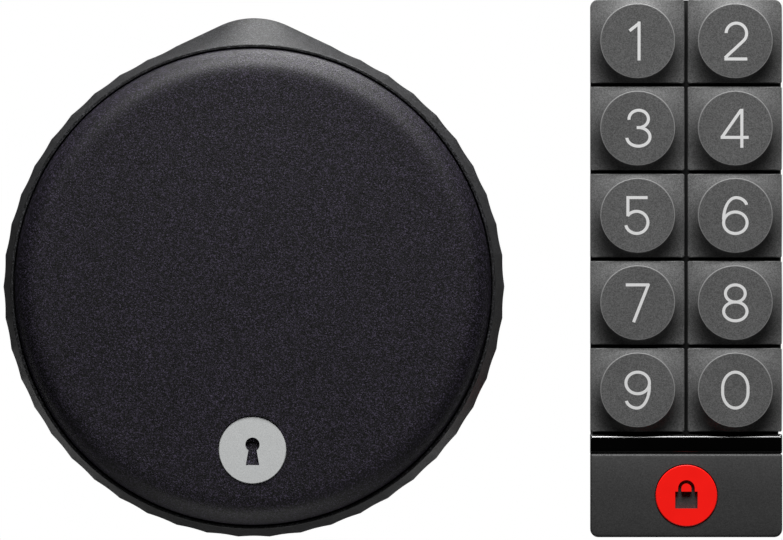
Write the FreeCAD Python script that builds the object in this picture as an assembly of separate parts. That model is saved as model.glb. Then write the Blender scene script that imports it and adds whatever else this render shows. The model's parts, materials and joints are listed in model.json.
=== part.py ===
"""Keypad smart lock: a round motor lock that sits over a deadbolt, and its wall keypad.

The frame is in millimetres with +Z up. The origin is the centre of the lock's mounting
plate, on the door's face, and +Y goes into the door. Most pieces are built in layers out
from the door, so their places along the depth are distances from the door's face.
"""
import FreeCAD
import Part
import math
import os

Vector = FreeCAD.Vector

# ---- lock body ------------------------------------------------------------------------
bore_radius = 33.0          # inside of the turning barrel
barrel_wall = 2.5           # from the bore to the grip ridges, at the front shoulder
rear_flare = 0.5            # the barrel is this much larger in radius at its rear edge
grip_pitches = 50           # flutes in a whole turn, if the bump did not take some
flute_depth = 0.17          # ridge to valley
bump_half_pitches = 3.5     # the bump leaves the round at this many pitches each side
bump_crest_radius = 11.3    # rounding of the bump's crest
band_length = 8.4           # sloped front band, along the depth
seat_width = 0.45           # shoulder that the faceplate's skirt sits on
face_gap = 0.35             # groove round the faceplate
lip_wall = 0.3              # thin lip outside the groove
lug_reach = 3.6             # how far the barrel's screw lugs stand in from the bore
lug_width = 6.0
lug_root = 0.5              # and how far they run into its wall
lip_drop = 0.1              # the lip's edge stays this far behind the faceplate's rim
shoulder_rise = 0.12        # the first flute beside the bump is this much shallower
join = 0.1                  # pieces that become one run this far into each other

# ---- layers of the lock, outwards from the door ----------------------------------------
plate_back_thickness = 2.5
plate_flange_thickness = 1.5
collar_lift = 1.0           # the collar's rear edge stays this far off the door
base_depth = 11.0           # fixed base, from the plate's front
web_thickness = 1.5
turning_gap = 0.5           # between the fixed base and the turning barrel
chassis_thickness = 2.0
layer_gap = 0.5             # between one gear layer and the next
gear_width = 2.4
cover_thickness = 1.5
motor_length = 15.0
component_room = 1.2        # between the motor and the board
board_thickness = 1.6
board_gap = 0.4             # between the board and the tray
tray_floor = 1.5
cell_diameter = 17.0
cell_length = 34.5
face_room = 3.0             # from the cells to the inside of the faceplate
face_wall = 1.8
dome_rise = 3.5             # rim to centre of the faceplate
dome_crown = 0.55           # how much of the rise is the gentle crown of the middle
dome_edge_width = 5.15      # width of the rounded edge, in from the rim
face_skirt = 2.3            # straight skirt of the faceplate, behind its rim
edge_thinning = 0.6         # its wall is thicker by this under the rounded edge
ring_gear_room = 1.0        # between the base's web and the ring gear

# ---- mounting plate, hub and latches ----------------------------------------------------
plate_flange_radius = 28.0
plate_back_radius = 25.0
plate_hole_radius = 11.2
screw_slot_spacing = 38.0
screw_slot_radius = 2.6
screw_slot_length = 8.0
hub_radius = 8.0
hub_flange_radius = 12.5
hub_flange_thickness = 1.5
hub_flange_gap = 0.4        # from the base's boss to the hub's flange
hub_lift = 0.2              # the hub stays this far in front of the collar's rear edge
spigot_radius = 6.0
boss_radius = 11.5
bushing_wall = 1.45
running_clearance = 0.05    # radial, round every shaft that turns
clip_radius = 10.6
clip_thickness = 0.9
clip_groove_depth = 0.6
clip_gap = 0.1              # between the clip and the plate's front
clip_play = 0.05
clip_mouth = 6.0
adapter_radius = 5.4
adapter_depth = 11.0
adapter_end_wall = 1.0
tail_slot_width = 2.4
tail_slot_length = 7.2
latch_half_height = 7.0
latch_thickness = 2.4
latch_knuckle_radius = 1.7
latch_pin_radius = 0.7
latch_pin_half_length = 8.8
latch_pin_inset = 2.0       # pin centre, in from the collar's outside
latch_pin_depth = 11.6      # pin centre, from the door
hook_half_height = 4.0
hook_thickness = 1.0
latch_clearance = 0.3
latch_lift = 0.1
latch_pocket_depth = 4.0
hook_side_room = 0.4
hook_play = 0.2
hook_edge_gap = 1.2
collar_chamfer = 0.4
flange_room = 0.4           # between the plate's flange and the collar

# ---- gears ------------------------------------------------------------------------------
ring_teeth = 60
final_teeth = 12
ring_inset = 7.4            # ring gear's pitch circle, in from the bore
ring_rim = 2.4              # ring gear's body outside its pitch circle
ring_width = 6.0
final_width = 5.0
wheel_teeth = 36
pinion_teeth = 12
train_module = 0.5
train_turns = (30.0, 100.0, 140.0)   # direction from each gear centre to the next, degrees
final_addendum = 0.75       # in modules, as are the next three
ring_addendum = 0.6
train_addendum = 0.75
tooth_dedendum = 1.0
tooth_backlash = 0.06       # taken off each tooth's width at the pitch circle, in modules
pressure_angle = math.radians(20.0)
axle_radius = 0.75
output_shaft_radius = 1.5
motor_radius = 10.0
leg_radius = 1.8
leg_clearance = 0.8         # between a gear's tips and a cover leg
leg_turns = (190.0, 20.0, 150.0)     # direction to each leg from its gear, degrees
leg_root = 0.5              # how far the legs start inside the chassis
axle_floor = 0.4            # chassis left under the axles
axle_cap = 0.3              # cover left over them
shaft_cap = 0.2             # bores run this far past the ends of turning shafts
insert_gap = 0.1            # round the plates that sit in the barrel's bore
cover_side_gap = 1.4        # between the gear cover and the barrel's lugs
motor_shaft_room = 0.4
motor_shaft_length = 6.0    # beyond the gear cover
motor_rounding = 0.8
terminal_offset = 4.0
terminal_width = 1.6
terminal_sheet = 0.5
terminal_height = 0.9
terminal_root = 0.3

# ---- batteries, magnets and fasteners inside the lock ----------------------------------
cell_side_gap = 0.6
cell_clearance = 0.3
cell_nub_radius = 3.2
cell_nub_height = 0.9
tray_wall = 1.2
contact_room = 2.0          # beyond each end of a cell, for its contacts
contact_sheet = 0.4
contact_gap = 0.05
contact_width = 9.0
contact_rear_shift = 1.0
contact_dimple_radius = 1.4
cell_rounding = 0.5
cradle_reach = 2.0          # the cradle's walls stand this far past the cells' centres
cradle_side_gap = 0.6
rib_drop = 4.0              # and the rib between the cells stops this far behind them
magnet_radius = 2.2
magnet_thickness = 2.0
magnet_post_wall = 0.8
magnet_inset = 6.2          # magnet centre, in from the bore
magnet_proud = 0.2
keeper_drop = 1.6           # keepers end this far behind the faceplate's rim
keeper_thickness = 1.2
keeper_gap = 0.1
screw_radius = 1.0
screw_head_radius = 1.7
screw_head_height = 1.1
screw_length = 5.0
chassis_head_room = 0.2     # round the screw heads, radial
tray_head_room = 0.3
tray_pocket_height = 4.0
driver_slot_length = 2.04
driver_slot_width = 0.4
driver_slot_floor = 0.5     # slot's floor, from the underside of the head
buzzer_radius = 4.5
buzzer_height = 2.2
buzzer_hole_radius = 0.9
buzzer_turn = 20.0          # direction from the motor, degrees
buzzer_gap = 6.0
buzzer_drop = 12.0
board_edge_gap = 0.8        # between the board and the barrel's lugs
solder_root = 0.2
# Components on the board's rear: left, right, low and high sides, and height.
board_parts = [(-20.0, -12.0, -14.0, -6.0, 1.0), (-22.0, -14.0, 4.0, 9.0, 1.6),
               (10.0, 19.0, 8.0, 17.0, 1.0), (12.0, 15.0, -20.0, -14.0, 2.4)]
badge_radius = 4.75
badge_drop = 22.9           # badge centre, below the lock's axis
badge_pocket_depth = 0.5
badge_proud = 0.15
badge_clearance = 0.05
keyhole_radius = 1.0
keyhole_length = 2.9
keyhole_foot = 0.95
keyhole_neck = 0.45
keyhole_rise = 0.75         # from the badge's centre up to the round
badge_edge = 0.1

# ---- keypad -----------------------------------------------------------------------------
keypad_x = 62.7             # keypad centre from the lock's axis
keypad_z = 2.6
key_width = 13.8
key_height = 12.25
key_gap = 0.5
row_gap = 0.53
strip_gap = 0.38
strip_height = 2.8
panel_gap = 0.06
panel_height = 12.2
corner_radius = 1.15
key_crown_radius = 5.5      # round top of each key
key_rise = 2.0              # hollow flank, from the foot to the round top
key_foot = 0.5              # straight foot below the flank, at the corners
key_edge = 0.12             # broken edge round the key's top
key_stem_radius = 2.0
key_stem_reach = 0.25       # the stem stands this far behind the cap
key_stem_root = 0.5
key_corner = 0.25           # small corner radius of every key and of the lock button
key_travel = 0.8
travel_spare = 0.1
legend_depth = 0.12
digit_stroke = 0.44
strip_drop = 0.8            # the strip's front stays this far behind the keys' tops
strip_edge = 0.6            # rounding of its two long edges
panel_thickness = 2.1
panel_edge = 0.35
button_badge_radius = 4.5
padlock_width = 3.3
padlock_height = 2.5
shackle_radius = 0.98
shackle_stroke = 0.5
shackle_leg = 0.45
padlock_drop = 1.9          # from the badge's centre to the padlock's foot
backplate_thickness = 1.6
backplate_inset = 2.2
wall_pad_thickness = 0.5
keypad_rear_gap = 0.2
door_thickness = 1.0
door_clearance = 0.1
door_lap = 0.1              # the door is this much narrower than the cell bay, each side
door_reach = 0.6            # and this much longer
aaa_diameter = 10.5
aaa_length = 44.5
aaa_gap = 0.5
aaa_side_room = 0.2
aaa_door_gap = 0.15
aaa_board_gap = 0.25
aaa_nub_radius = 1.9
aaa_nub_height = 0.9
case_inset = 0.4            # the case stays this far inside the keys' outline
case_wall = 1.2
cell_bay_room = 0.3         # beside the cells, inside the case's walls
case_back = 1.2
case_chamfer = 0.4
keypad_board_thickness = 1.0
dome_radius = 2.0
dome_height = 0.3
mat_thickness = 0.5
mat_boss_radius = 2.5
frame_thickness = 0.6
frame_window = 8.0
board_side_gap = 0.2        # board and mat inside the case's walls
board_rear_gap = 0.2        # between the cell bay's walls and the board
led_width = 1.0
led_length = 0.8
led_height = 0.25
led_offset = 3.6
aaa_contact_width = 7.0
door_groove_length = 8.0
door_groove_width = 0.6
door_groove_depth = 0.3
door_groove_pitch = 1.2
door_groove_start = 4.0
frame_inset = 0.05          # the frame stays this far inside the keys' outline
stud_neck_width = 4.0
stud_head_width = 7.0
stud_length = 4.0
stud_head_thickness = 1.0
stud_spare = 0.3            # beyond a stud at each end of its travel
keypad_lift = 6.0           # travel that frees the keypad from its studs
cradle_wall = 0.8           # walls across the case, above and below the cells
slot_clearance = 0.2
wall_screw_spacing = 44.0
wall_screw_radius = 2.0

# ---- places that follow from the sizes above ---------------------------------------------
ridge_radius = bore_radius + barrel_wall
collar_radius = bore_radius
plate_front = plate_back_thickness + plate_flange_thickness
web_front = plate_front + web_thickness
base_front = plate_front + base_depth
ring_start = web_front + ring_gear_room
rotor_start = base_front + turning_gap
boss_front = rotor_start - hub_flange_thickness - hub_flange_gap
clip_near = plate_front - clip_thickness - clip_gap
chassis_front = rotor_start + chassis_thickness
layer_starts = [chassis_front + layer_gap + i * (gear_width + layer_gap) for i in range(3)]
cover_start = layer_starts[2] + gear_width + layer_gap
cover_front = cover_start + cover_thickness
motor_front = cover_front + motor_length
board_start = motor_front + component_room
tray_start = board_start + board_thickness + board_gap
tray_front = tray_start + tray_floor
cell_depth = tray_front + cell_clearance + cell_diameter / 2
cell_top = cell_depth + cell_diameter / 2
lock_depth = cell_top + face_room + face_wall
rim_depth = lock_depth - dome_rise
lip_depth = rim_depth - lip_drop
shoulder_depth = lip_depth - band_length
skirt_depth = rim_depth - face_skirt
face_radius = bore_radius + seat_width
rebate_radius = face_radius + face_gap
lip_radius = rebate_radius + lip_wall
lug_radius = bore_radius - lug_reach
magnet_seat = rim_depth - keeper_drop - keeper_thickness - keeper_gap - magnet_thickness

ring_pitch_radius = bore_radius - ring_inset
ring_module = 2 * ring_pitch_radius / ring_teeth
ring_outer_radius = ring_pitch_radius + ring_rim
final_distance = ring_module * (ring_teeth - final_teeth) / 2
train_distance = train_module * (wheel_teeth + pinion_teeth) / 2
wheel_tip_radius = train_module * (wheel_teeth / 2 + train_addendum)


def step_from(place, angle, distance):
    """The point at a distance and direction (degrees from +X, towards +Z) from a place."""
    a = math.radians(angle)
    return (place[0] + distance * math.cos(a), place[1] + distance * math.sin(a))


final_place = (0.0, -final_distance)
second_place = step_from(final_place, train_turns[0], train_distance)
first_place = step_from(second_place, train_turns[1], train_distance)
motor_place = step_from(first_place, train_turns[2], train_distance)

pack_half_width = cell_diameter + cell_side_gap / 2 + cell_clearance
pack_half_length = cell_length / 2 + contact_room
leg_distance = wheel_tip_radius + leg_radius + leg_clearance
leg_gears = (final_place, first_place, motor_place)
cover_legs = [step_from(place, turn, leg_distance) for place, turn in zip(leg_gears, leg_turns)]
buzzer_base = step_from(motor_place, buzzer_turn, motor_radius + buzzer_radius + buzzer_gap)
buzzer_place = (buzzer_base[0], buzzer_base[1] - buzzer_drop)
lug_angles = (0.0, 120.0, 240.0)          # clockwise from straight up
tray_lug_angles = (60.0, 180.0, 300.0)

keypad_width = 2 * key_width + key_gap
keys_height = 5 * key_height + 4 * row_gap
keypad_height = keys_height + strip_gap + strip_height + panel_gap + panel_height
keypad_top = keypad_z + keypad_height / 2
strip_top = keypad_top - keys_height - strip_gap
panel_top = strip_top - strip_height - panel_gap
keypad_left = keypad_x - keypad_width / 2
case_start = wall_pad_thickness + backplate_thickness + keypad_rear_gap
door_front = case_start + door_thickness
aaa_depth = door_front + aaa_door_gap + aaa_diameter / 2
keypad_board_start = aaa_depth + aaa_diameter / 2 + aaa_board_gap
dome_start = keypad_board_start + keypad_board_thickness
mat_start = dome_start + dome_height
frame_start = mat_start + mat_thickness
frame_front = frame_start + frame_thickness
key_start = frame_front + key_travel + travel_spare
key_shoulder = key_start + key_foot
keypad_depth = key_shoulder + key_rise
case_half_height = keypad_height / 2 - case_inset
aaa_half_width = aaa_diameter + aaa_gap / 2 + aaa_side_room
# The case is as wide as its keys ask, or as its two cells ask if that is more.
case_half_width = max(keypad_width / 2 - case_inset, aaa_half_width + cell_bay_room + case_wall)
board_half_width = case_half_width - case_wall - board_side_gap
board_half_height = case_half_height - case_wall - board_side_gap
aaa_half_length = aaa_length / 2 + contact_room
door_half_width = aaa_half_width - door_lap
door_half_height = aaa_half_length + door_reach
cradle_end = door_half_height + door_clearance + cradle_wall
stud_offset_up = cradle_end + keypad_lift + stud_length / 2 + stud_spare
stud_offset_down = cradle_end + stud_length / 2 + stud_spare


# ---- small builders ----------------------------------------------------------------------
def cylinder(radius, near, far, x=0.0, z=0.0):
    """A round bar between two distances from the door."""
    return Part.makeCylinder(radius, far - near, Vector(x, -near, z), Vector(0, -1, 0))


def ring(outer, inner, near, far, x=0.0, z=0.0):
    return cylinder(outer, near, far, x, z).cut(cylinder(inner, near - 1, far + 1, x, z))


def block(x0, x1, near, far, z0, z1):
    return Part.makeBox(x1 - x0, far - near, z1 - z0, Vector(x0, -far, z0))


def centred_block(half_width, half_height, near, far, x=0.0, z=0.0):
    return block(x - half_width, x + half_width, near, far, z - half_height, z + half_height)


def fused(shapes):
    """One solid from several that touch or overlap."""
    return shapes[0].multiFuse(shapes[1:]).removeSplitter()


def turned(outline):
    """A solid of revolution about the lock's axis from (radius, distance) corners."""
    points = [Vector(radius, -depth, 0) for radius, depth in outline]
    face = Part.Face(Part.makePolygon(points + points[:1]))
    return face.revolve(Vector(0, 0, 0), Vector(0, 1, 0), 360)


def around(angle, radius):
    """The x and z of a point round the lock's axis, at an angle clockwise from straight up."""
    a = math.radians(angle)
    return radius * math.sin(a), radius * math.cos(a)


def write(name, shape):
    """Write one piece, or a group of like pieces, as its own STEP file."""
    if not shape.isValid():
        raise ValueError(name + " is not a valid shape")
    shape.exportStep("parts/" + name + ".step")


# ---- gears -------------------------------------------------------------------------------
def involute_flank(base, start, end, steps=7):
    """Radius and angle along an involute, from one radius to another."""
    points = []
    for i in range(steps + 1):
        radius = start + (end - start) * i / steps
        roll = math.sqrt(max((radius / base) ** 2 - 1, 0.0))
        points.append((radius, roll - math.atan(roll)))
    return points


def gear_face(teeth, module, tip, root, width_share, first_tooth, place):
    """The face of a spur gear's cross-section, with a tooth centred on one direction.

    width_share is the tooth's share of the pitch at the pitch circle. The flanks are
    involutes down to the base circle, then radial down to the root.
    """
    pitch_radius = teeth * module / 2
    base = pitch_radius * math.cos(pressure_angle)
    pitch_roll = math.tan(pressure_angle) - pressure_angle
    half_tooth = math.pi * width_share / teeth
    flank = involute_flank(base, max(base, root), tip)
    if root < base:
        flank = [(root, 0.0)] + flank
    edges = []
    previous_end = None
    first_start = None

    def at(radius, angle):
        return Vector(place[0] + radius * math.cos(angle), 0, place[1] + radius * math.sin(angle))

    for tooth in range(teeth):
        centre = first_tooth + 2 * math.pi * tooth / teeth
        rising = [at(r, centre - half_tooth - pitch_roll + roll) for r, roll in flank]
        falling = [at(r, centre + half_tooth + pitch_roll - roll) for r, roll in reversed(flank)]
        if previous_end is not None:
            edges.append(Part.makeLine(previous_end, rising[0]))
        else:
            first_start = rising[0]
        for side in (rising, falling):
            for a, b in zip(side, side[1:]):
                edges.append(Part.makeLine(a, b))
            if side is rising:
                edges.append(Part.makeLine(rising[-1], falling[0]))
        previous_end = falling[-1]
    edges.append(Part.makeLine(previous_end, first_start))
    return Part.Face(Part.Wire(edges))


def gear(teeth, module, addendum, first_tooth, place, near, far):
    """An outside spur gear between two distances from the door."""
    tip = module * (teeth / 2 + addendum)
    root = module * (teeth / 2 - tooth_dedendum)
    face = gear_face(teeth, module, tip, root, 0.5 - tooth_backlash, first_tooth, place)
    face.translate(Vector(0, -near, 0))
    return face.extrude(Vector(0, near - far, 0))


def meshing_tooth(angle, teeth_a, tooth_a, teeth_b):
    """Direction of a tooth on gear b that meshes with gear a, which lies at angle + 180."""
    pitch_a = 2 * math.pi / teeth_a
    pitch_b = 2 * math.pi / teeth_b
    offset = ((tooth_a - angle) / pitch_a) % 1.0
    return angle + math.pi - (offset + 0.5) * pitch_b


def train_teeth():
    """Tooth directions of the train: final pinion and wheel, then each pinion and wheel."""
    down = -math.pi / 2
    second = meshing_tooth(math.radians(train_turns[0]), wheel_teeth, down, pinion_teeth)
    first = meshing_tooth(math.radians(train_turns[1]), wheel_teeth, second, pinion_teeth)
    motor = meshing_tooth(math.radians(train_turns[2]), wheel_teeth, first, pinion_teeth)
    return down, second, first, motor


def ring_gear():
    """Fixed inside gear, pressed into the base; the final pinion walks round it."""
    near = ring_start
    far = near + ring_width
    tip = ring_pitch_radius - ring_module * ring_addendum
    root = ring_pitch_radius + ring_module * tooth_dedendum
    space_down = -math.pi / 2
    spaces = gear_face(ring_teeth, ring_module, root, tip - 1.0, 0.5 + tooth_backlash,
                       space_down, (0.0, 0.0))
    spaces.translate(Vector(0, -near + 1, 0))
    cutter = spaces.extrude(Vector(0, near - far - 2, 0))
    body = ring(ring_outer_radius, tip, near, far)
    return body.cut(cutter)


def output_gear():
    """Shaft with the final pinion behind the chassis and the last wheel in front of it."""
    tooth = train_teeth()[0]
    near = ring_start + (ring_width - final_width) / 2
    pinion = gear(final_teeth, ring_module, final_addendum, tooth, final_place,
                  near, near + final_width)
    wheel = gear(wheel_teeth, train_module, train_addendum, tooth, final_place,
                 layer_starts[0], layer_starts[0] + gear_width)
    shaft = cylinder(output_shaft_radius, near, cover_front - axle_cap, *final_place)
    return fused([pinion, wheel, shaft])


def idler(place, tooth, layer):
    """A wheel with a pinion behind it, which turn together on a fixed axle."""
    wheel = gear(wheel_teeth, train_module, train_addendum, tooth, place,
                 layer_starts[layer], layer_starts[layer] + gear_width)
    pinion = gear(pinion_teeth, train_module, train_addendum, tooth, place,
                  layer_starts[layer - 1], layer_starts[layer] + join)
    bore = cylinder(axle_radius + running_clearance, layer_starts[0] - 1, cover_front, *place)
    return fused([wheel, pinion]).cut(bore)


def motor_pinion():
    """Pinion with the end of the motor's shaft."""
    tooth = train_teeth()[3]
    pinion = gear(pinion_teeth, train_module, train_addendum, tooth, motor_place,
                  layer_starts[2], layer_starts[2] + gear_width)
    shaft = cylinder(axle_radius, layer_starts[2], cover_front + motor_shaft_length, *motor_place)
    return fused([pinion, shaft])


def gear_axles():
    """Two fixed pins, held in the chassis and the gear cover."""
    pins = [cylinder(axle_radius, rotor_start + axle_floor, cover_front - axle_cap, *place)
            for place in (second_place, first_place)]
    return Part.makeCompound(pins)


# ---- fixed parts of the lock --------------------------------------------------------------
def screw_slot(x):
    half = screw_slot_length / 2 - screw_slot_radius
    ends = [cylinder(screw_slot_radius, -1, plate_front + 1, x + side * half) for side in (-1, 1)]
    middle = block(x - half, x + half, -1, plate_front + 1, -screw_slot_radius, screw_slot_radius)
    return fused(ends + [middle])


def mounting_plate():
    """Steel plate screwed to the door, stepped so that the latches hook behind its flange."""
    plate = turned([
        (0, 0), (plate_back_radius, 0), (plate_back_radius, plate_back_thickness),
        (plate_flange_radius, plate_back_thickness), (plate_flange_radius, plate_front),
        (0, plate_front)])
    plate = plate.cut(cylinder(plate_hole_radius, -1, plate_front + 1))
    for side in (-1, 1):
        plate = plate.cut(screw_slot(side * screw_slot_spacing / 2))
    return plate


def latch_pocket(side):
    """Space in the collar for one wing latch and its hook."""
    inner = collar_radius - latch_pocket_depth
    outer = collar_radius + 1.0
    height = latch_half_height + latch_clearance
    far = latch_pin_depth + latch_knuckle_radius + latch_clearance
    lever = block(inner, outer, collar_lift - 1, far, -height, height)
    hook_height = hook_half_height + hook_side_room
    hook = block(plate_flange_radius - latch_pocket_depth, outer, collar_lift - 1, plate_front,
                 -hook_height, hook_height)
    pocket = lever.fuse(hook)
    if side < 0:
        pocket = pocket.mirror(Vector(0, 0, 0), Vector(1, 0, 0))
    return pocket


def latch_pin_bar(side, radius, half_length):
    x = side * (collar_radius - latch_pin_inset)
    return Part.makeCylinder(radius, 2 * half_length,
                             Vector(x, -latch_pin_depth, -half_length), Vector(0, 0, 1))


def lock_base():
    """Fixed base: a collar with a web and a boss for the hub, open towards the front."""
    collar = turned([
        (plate_flange_radius + flange_room, collar_lift),
        (collar_radius - collar_chamfer, collar_lift),
        (collar_radius, collar_lift + collar_chamfer), (collar_radius, base_front),
        (ring_outer_radius, base_front), (ring_outer_radius, web_front),
        (boss_radius, web_front),
        (boss_radius, boss_front), (hub_radius + running_clearance + bushing_wall, boss_front),
        (hub_radius + running_clearance + bushing_wall, plate_front),
        (plate_flange_radius + flange_room, plate_front)])
    for side in (-1, 1):
        collar = collar.cut(latch_pocket(side))
        collar = collar.cut(latch_pin_bar(side, latch_pin_radius, latch_pin_half_length))
    return collar


def hub_bushing():
    inner = hub_radius + running_clearance
    return ring(inner + bushing_wall, inner, plate_front, boss_front)


def latch(side):
    """Wing latch: a curved lever on a pin, with a hook that goes behind the plate's flange."""
    pin_x = collar_radius - latch_pin_inset
    near = collar_lift + latch_lift
    lever = ring(collar_radius, collar_radius - latch_thickness, near, latch_pin_depth)
    lever = lever.common(block(0, 2 * collar_radius, near, latch_pin_depth,
                               -latch_half_height, latch_half_height))
    knuckle = Part.makeCylinder(latch_knuckle_radius, 2 * latch_half_height,
                                Vector(pin_x, -latch_pin_depth, -latch_half_height),
                                Vector(0, 0, 1))
    hook_far = plate_back_thickness - hook_play
    hook = block(plate_back_radius + hook_edge_gap, collar_radius - latch_thickness / 2,
                 hook_far - hook_thickness, hook_far, -hook_half_height, hook_half_height)
    shape = fused([lever, knuckle, hook])
    shape = shape.common(cylinder(collar_radius, 0, base_front))
    shape = shape.cut(Part.makeCylinder(latch_pin_radius + running_clearance,
                                        2 * latch_half_height + 2,
                                        Vector(pin_x, -latch_pin_depth,
                                               -latch_half_height - 1), Vector(0, 0, 1)))
    if side < 0:
        shape = shape.mirror(Vector(0, 0, 0), Vector(1, 0, 0))
    return shape


def latch_pins():
    return Part.makeCompound([latch_pin_bar(side, latch_pin_radius, latch_pin_half_length)
                              for side in (-1, 1)])


# ---- turning parts of the lock ------------------------------------------------------------
def arc_edge(a, middle, b):
    return Part.Arc(a, middle, b).toShape()


def polar(radius, angle, depth):
    """A point at a radius and an angle (radians, clockwise from straight up)."""
    return Vector(radius * math.sin(angle), -depth, radius * math.cos(angle))


def grip_outline(radius, depth):
    """Edges of the barrel's outline: flutes round it, and the bump at the top."""
    pitch = 2 * math.pi / grip_pitches
    leave = bump_half_pitches * pitch
    shoulder = leave - pitch
    shoulder_radius = radius / math.cos(pitch)
    crest_height = (radius - bump_crest_radius) / math.cos(leave)
    crest_side = Vector(bump_crest_radius * math.sin(leave), -depth,
                        crest_height + bump_crest_radius * math.cos(leave))
    crest_top = Vector(0, -depth, crest_height + bump_crest_radius)
    crest_left = Vector(-crest_side.x, -depth, crest_side.z)
    valley = radius - flute_depth
    edges = [arc_edge(crest_left, crest_top, crest_side)]
    right_shoulder = polar(shoulder_radius, shoulder, depth)
    edges.append(Part.makeLine(crest_side, right_shoulder))
    edges.append(arc_edge(right_shoulder, polar(valley + shoulder_rise, leave - pitch / 2, depth),
                          polar(radius, leave, depth)))
    flutes = int(round(grip_pitches - 2 * bump_half_pitches))
    for i in range(flutes):
        start = leave + i * pitch
        edges.append(arc_edge(polar(radius, start, depth),
                              polar(valley, start + pitch / 2, depth),
                              polar(radius, start + pitch, depth)))
    left_shoulder = polar(shoulder_radius, -shoulder, depth)
    edges.append(arc_edge(polar(radius, -leave, depth),
                          polar(valley + shoulder_rise, pitch / 2 - leave, depth), left_shoulder))
    edges.append(Part.makeLine(left_shoulder, crest_left))
    return edges


def round_outline(radius, edges, depth):
    """A circle cut at the same angles as another outline, edge for edge."""
    result = []
    for edge in edges:
        first, last = edge.firstVertex().Point, edge.lastVertex().Point
        a = math.atan2(first.x, first.z)
        b = math.atan2(last.x, last.z)
        if b < a:
            b += 2 * math.pi
        result.append(arc_edge(polar(radius, a, depth), polar(radius, (a + b) / 2, depth),
                               polar(radius, b, depth)))
    return result


def ruled_solid(outlines):
    """A solid through several outlines that have the same number of edges."""
    faces = []
    for lower, upper in zip(outlines, outlines[1:]):
        for a, b in zip(lower, upper):
            faces.append(Part.makeRuledSurface(a, b))
    for end in (outlines[0], outlines[-1]):
        faces.append(Part.Face(Part.Wire(end)))
    shell = Part.makeShell(faces)
    shell.sewShape()
    solid = Part.makeSolid(Part.Shell(shell.Faces))
    if solid.Volume < 0:
        solid.reverse()
    return solid


def screw_lug(angle, near, far):
    """A block on the barrel's bore that takes one screw."""
    lug = Part.makeBox(lug_width, far - near, 2 * lug_reach,
                       Vector(-lug_width / 2, -far, bore_radius - lug_reach))
    lug.rotate(Vector(0, 0, 0), Vector(0, 1, 0), angle)
    return lug.common(cylinder(bore_radius + lug_root, near, far))


def screw_places(angles):
    return [around(angle, bore_radius - lug_reach / 2) for angle in angles]


def barrel():
    """Turning grip shell: fluted outside with a bump on top, and screw lugs in its bore."""
    rear = grip_outline(ridge_radius + rear_flare, rotor_start)
    shoulder = grip_outline(ridge_radius, shoulder_depth)
    lip = round_outline(lip_radius, shoulder, lip_depth)
    shell = ruled_solid([rear, shoulder, lip])
    shell = shell.cut(cylinder(bore_radius, 0, lock_depth))
    shell = shell.cut(cylinder(rebate_radius, skirt_depth, lock_depth))
    lugs = [screw_lug(angle, chassis_front, chassis_front + screw_length + 1)
            for angle in lug_angles]
    lugs += [screw_lug(angle, tray_start - screw_length - 1, tray_start)
             for angle in tray_lug_angles]
    shell = shell.multiFuse(lugs)
    for x, z in screw_places(lug_angles):
        shell = shell.cut(cylinder(screw_radius, rotor_start, chassis_front + screw_length, x, z))
    for x, z in screw_places(tray_lug_angles):
        shell = shell.cut(cylinder(screw_radius, tray_start - screw_length, tray_start, x, z))
    return shell


def chassis_plate():
    """Plate across the rear of the barrel; it carries the gears and stands on the hub."""
    plate = cylinder(bore_radius - insert_gap, rotor_start, chassis_front)
    legs = [cylinder(leg_radius, rotor_start + leg_root, cover_start, x, z) for x, z in cover_legs]
    plate = fused([plate] + legs)
    plate = plate.cut(cylinder(spigot_radius, rotor_start - 1, chassis_front + 1))
    plate = plate.cut(cylinder(output_shaft_radius + running_clearance,
                               rotor_start - 1, chassis_front + 1, *final_place))
    for place in (second_place, first_place):
        plate = plate.cut(cylinder(axle_radius, rotor_start + axle_floor, chassis_front + 1, *place))
    for x, z in cover_legs:
        plate = plate.cut(cylinder(screw_radius, cover_front - screw_length, cover_start + 1, x, z))
    for x, z in screw_places(lug_angles):
        plate = plate.cut(cylinder(screw_radius + running_clearance,
                                   rotor_start - 1, chassis_front + 1, x, z))
        plate = plate.cut(cylinder(screw_head_radius + chassis_head_room, rotor_start - 1,
                                   rotor_start + screw_head_height, x, z))
    return plate


def drive_hub():
    """Hub under the chassis; it turns in the base's bushing and takes the adapter."""
    near = collar_lift + hub_lift
    groove_near = clip_near - clip_play
    groove_far = clip_near + clip_thickness + clip_play
    hub = turned([
        (0, near), (hub_radius, near), (hub_radius, groove_near),
        (hub_radius - clip_groove_depth, groove_near),
        (hub_radius - clip_groove_depth, groove_far),
        (hub_radius, groove_far), (hub_radius, rotor_start - hub_flange_thickness),
        (hub_flange_radius, rotor_start - hub_flange_thickness),
        (hub_flange_radius, rotor_start), (spigot_radius, rotor_start),
        (spigot_radius, chassis_front), (0, chassis_front)])
    return hub.cut(cylinder(adapter_radius, near - 1, near + adapter_depth))


def hub_clip():
    """Retaining ring in the hub's groove, open on one side."""
    near = clip_near
    clip = ring(clip_radius, hub_radius - clip_groove_depth, near, near + clip_thickness)
    return clip.cut(block(-clip_mouth / 2, clip_mouth / 2, near - 1, near + clip_thickness + 1,
                          -2 * clip_radius, 0.0))


def tailpiece_adapter():
    """Plug in the hub, slotted for the deadbolt's flat tailpiece."""
    near = collar_lift + hub_lift
    plug = cylinder(adapter_radius, near, near + adapter_depth)
    slot = block(-tail_slot_length / 2, tail_slot_length / 2, near - 1,
                 near + adapter_depth - adapter_end_wall, -tail_slot_width / 2, tail_slot_width / 2)
    return plug.cut(slot)


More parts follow.
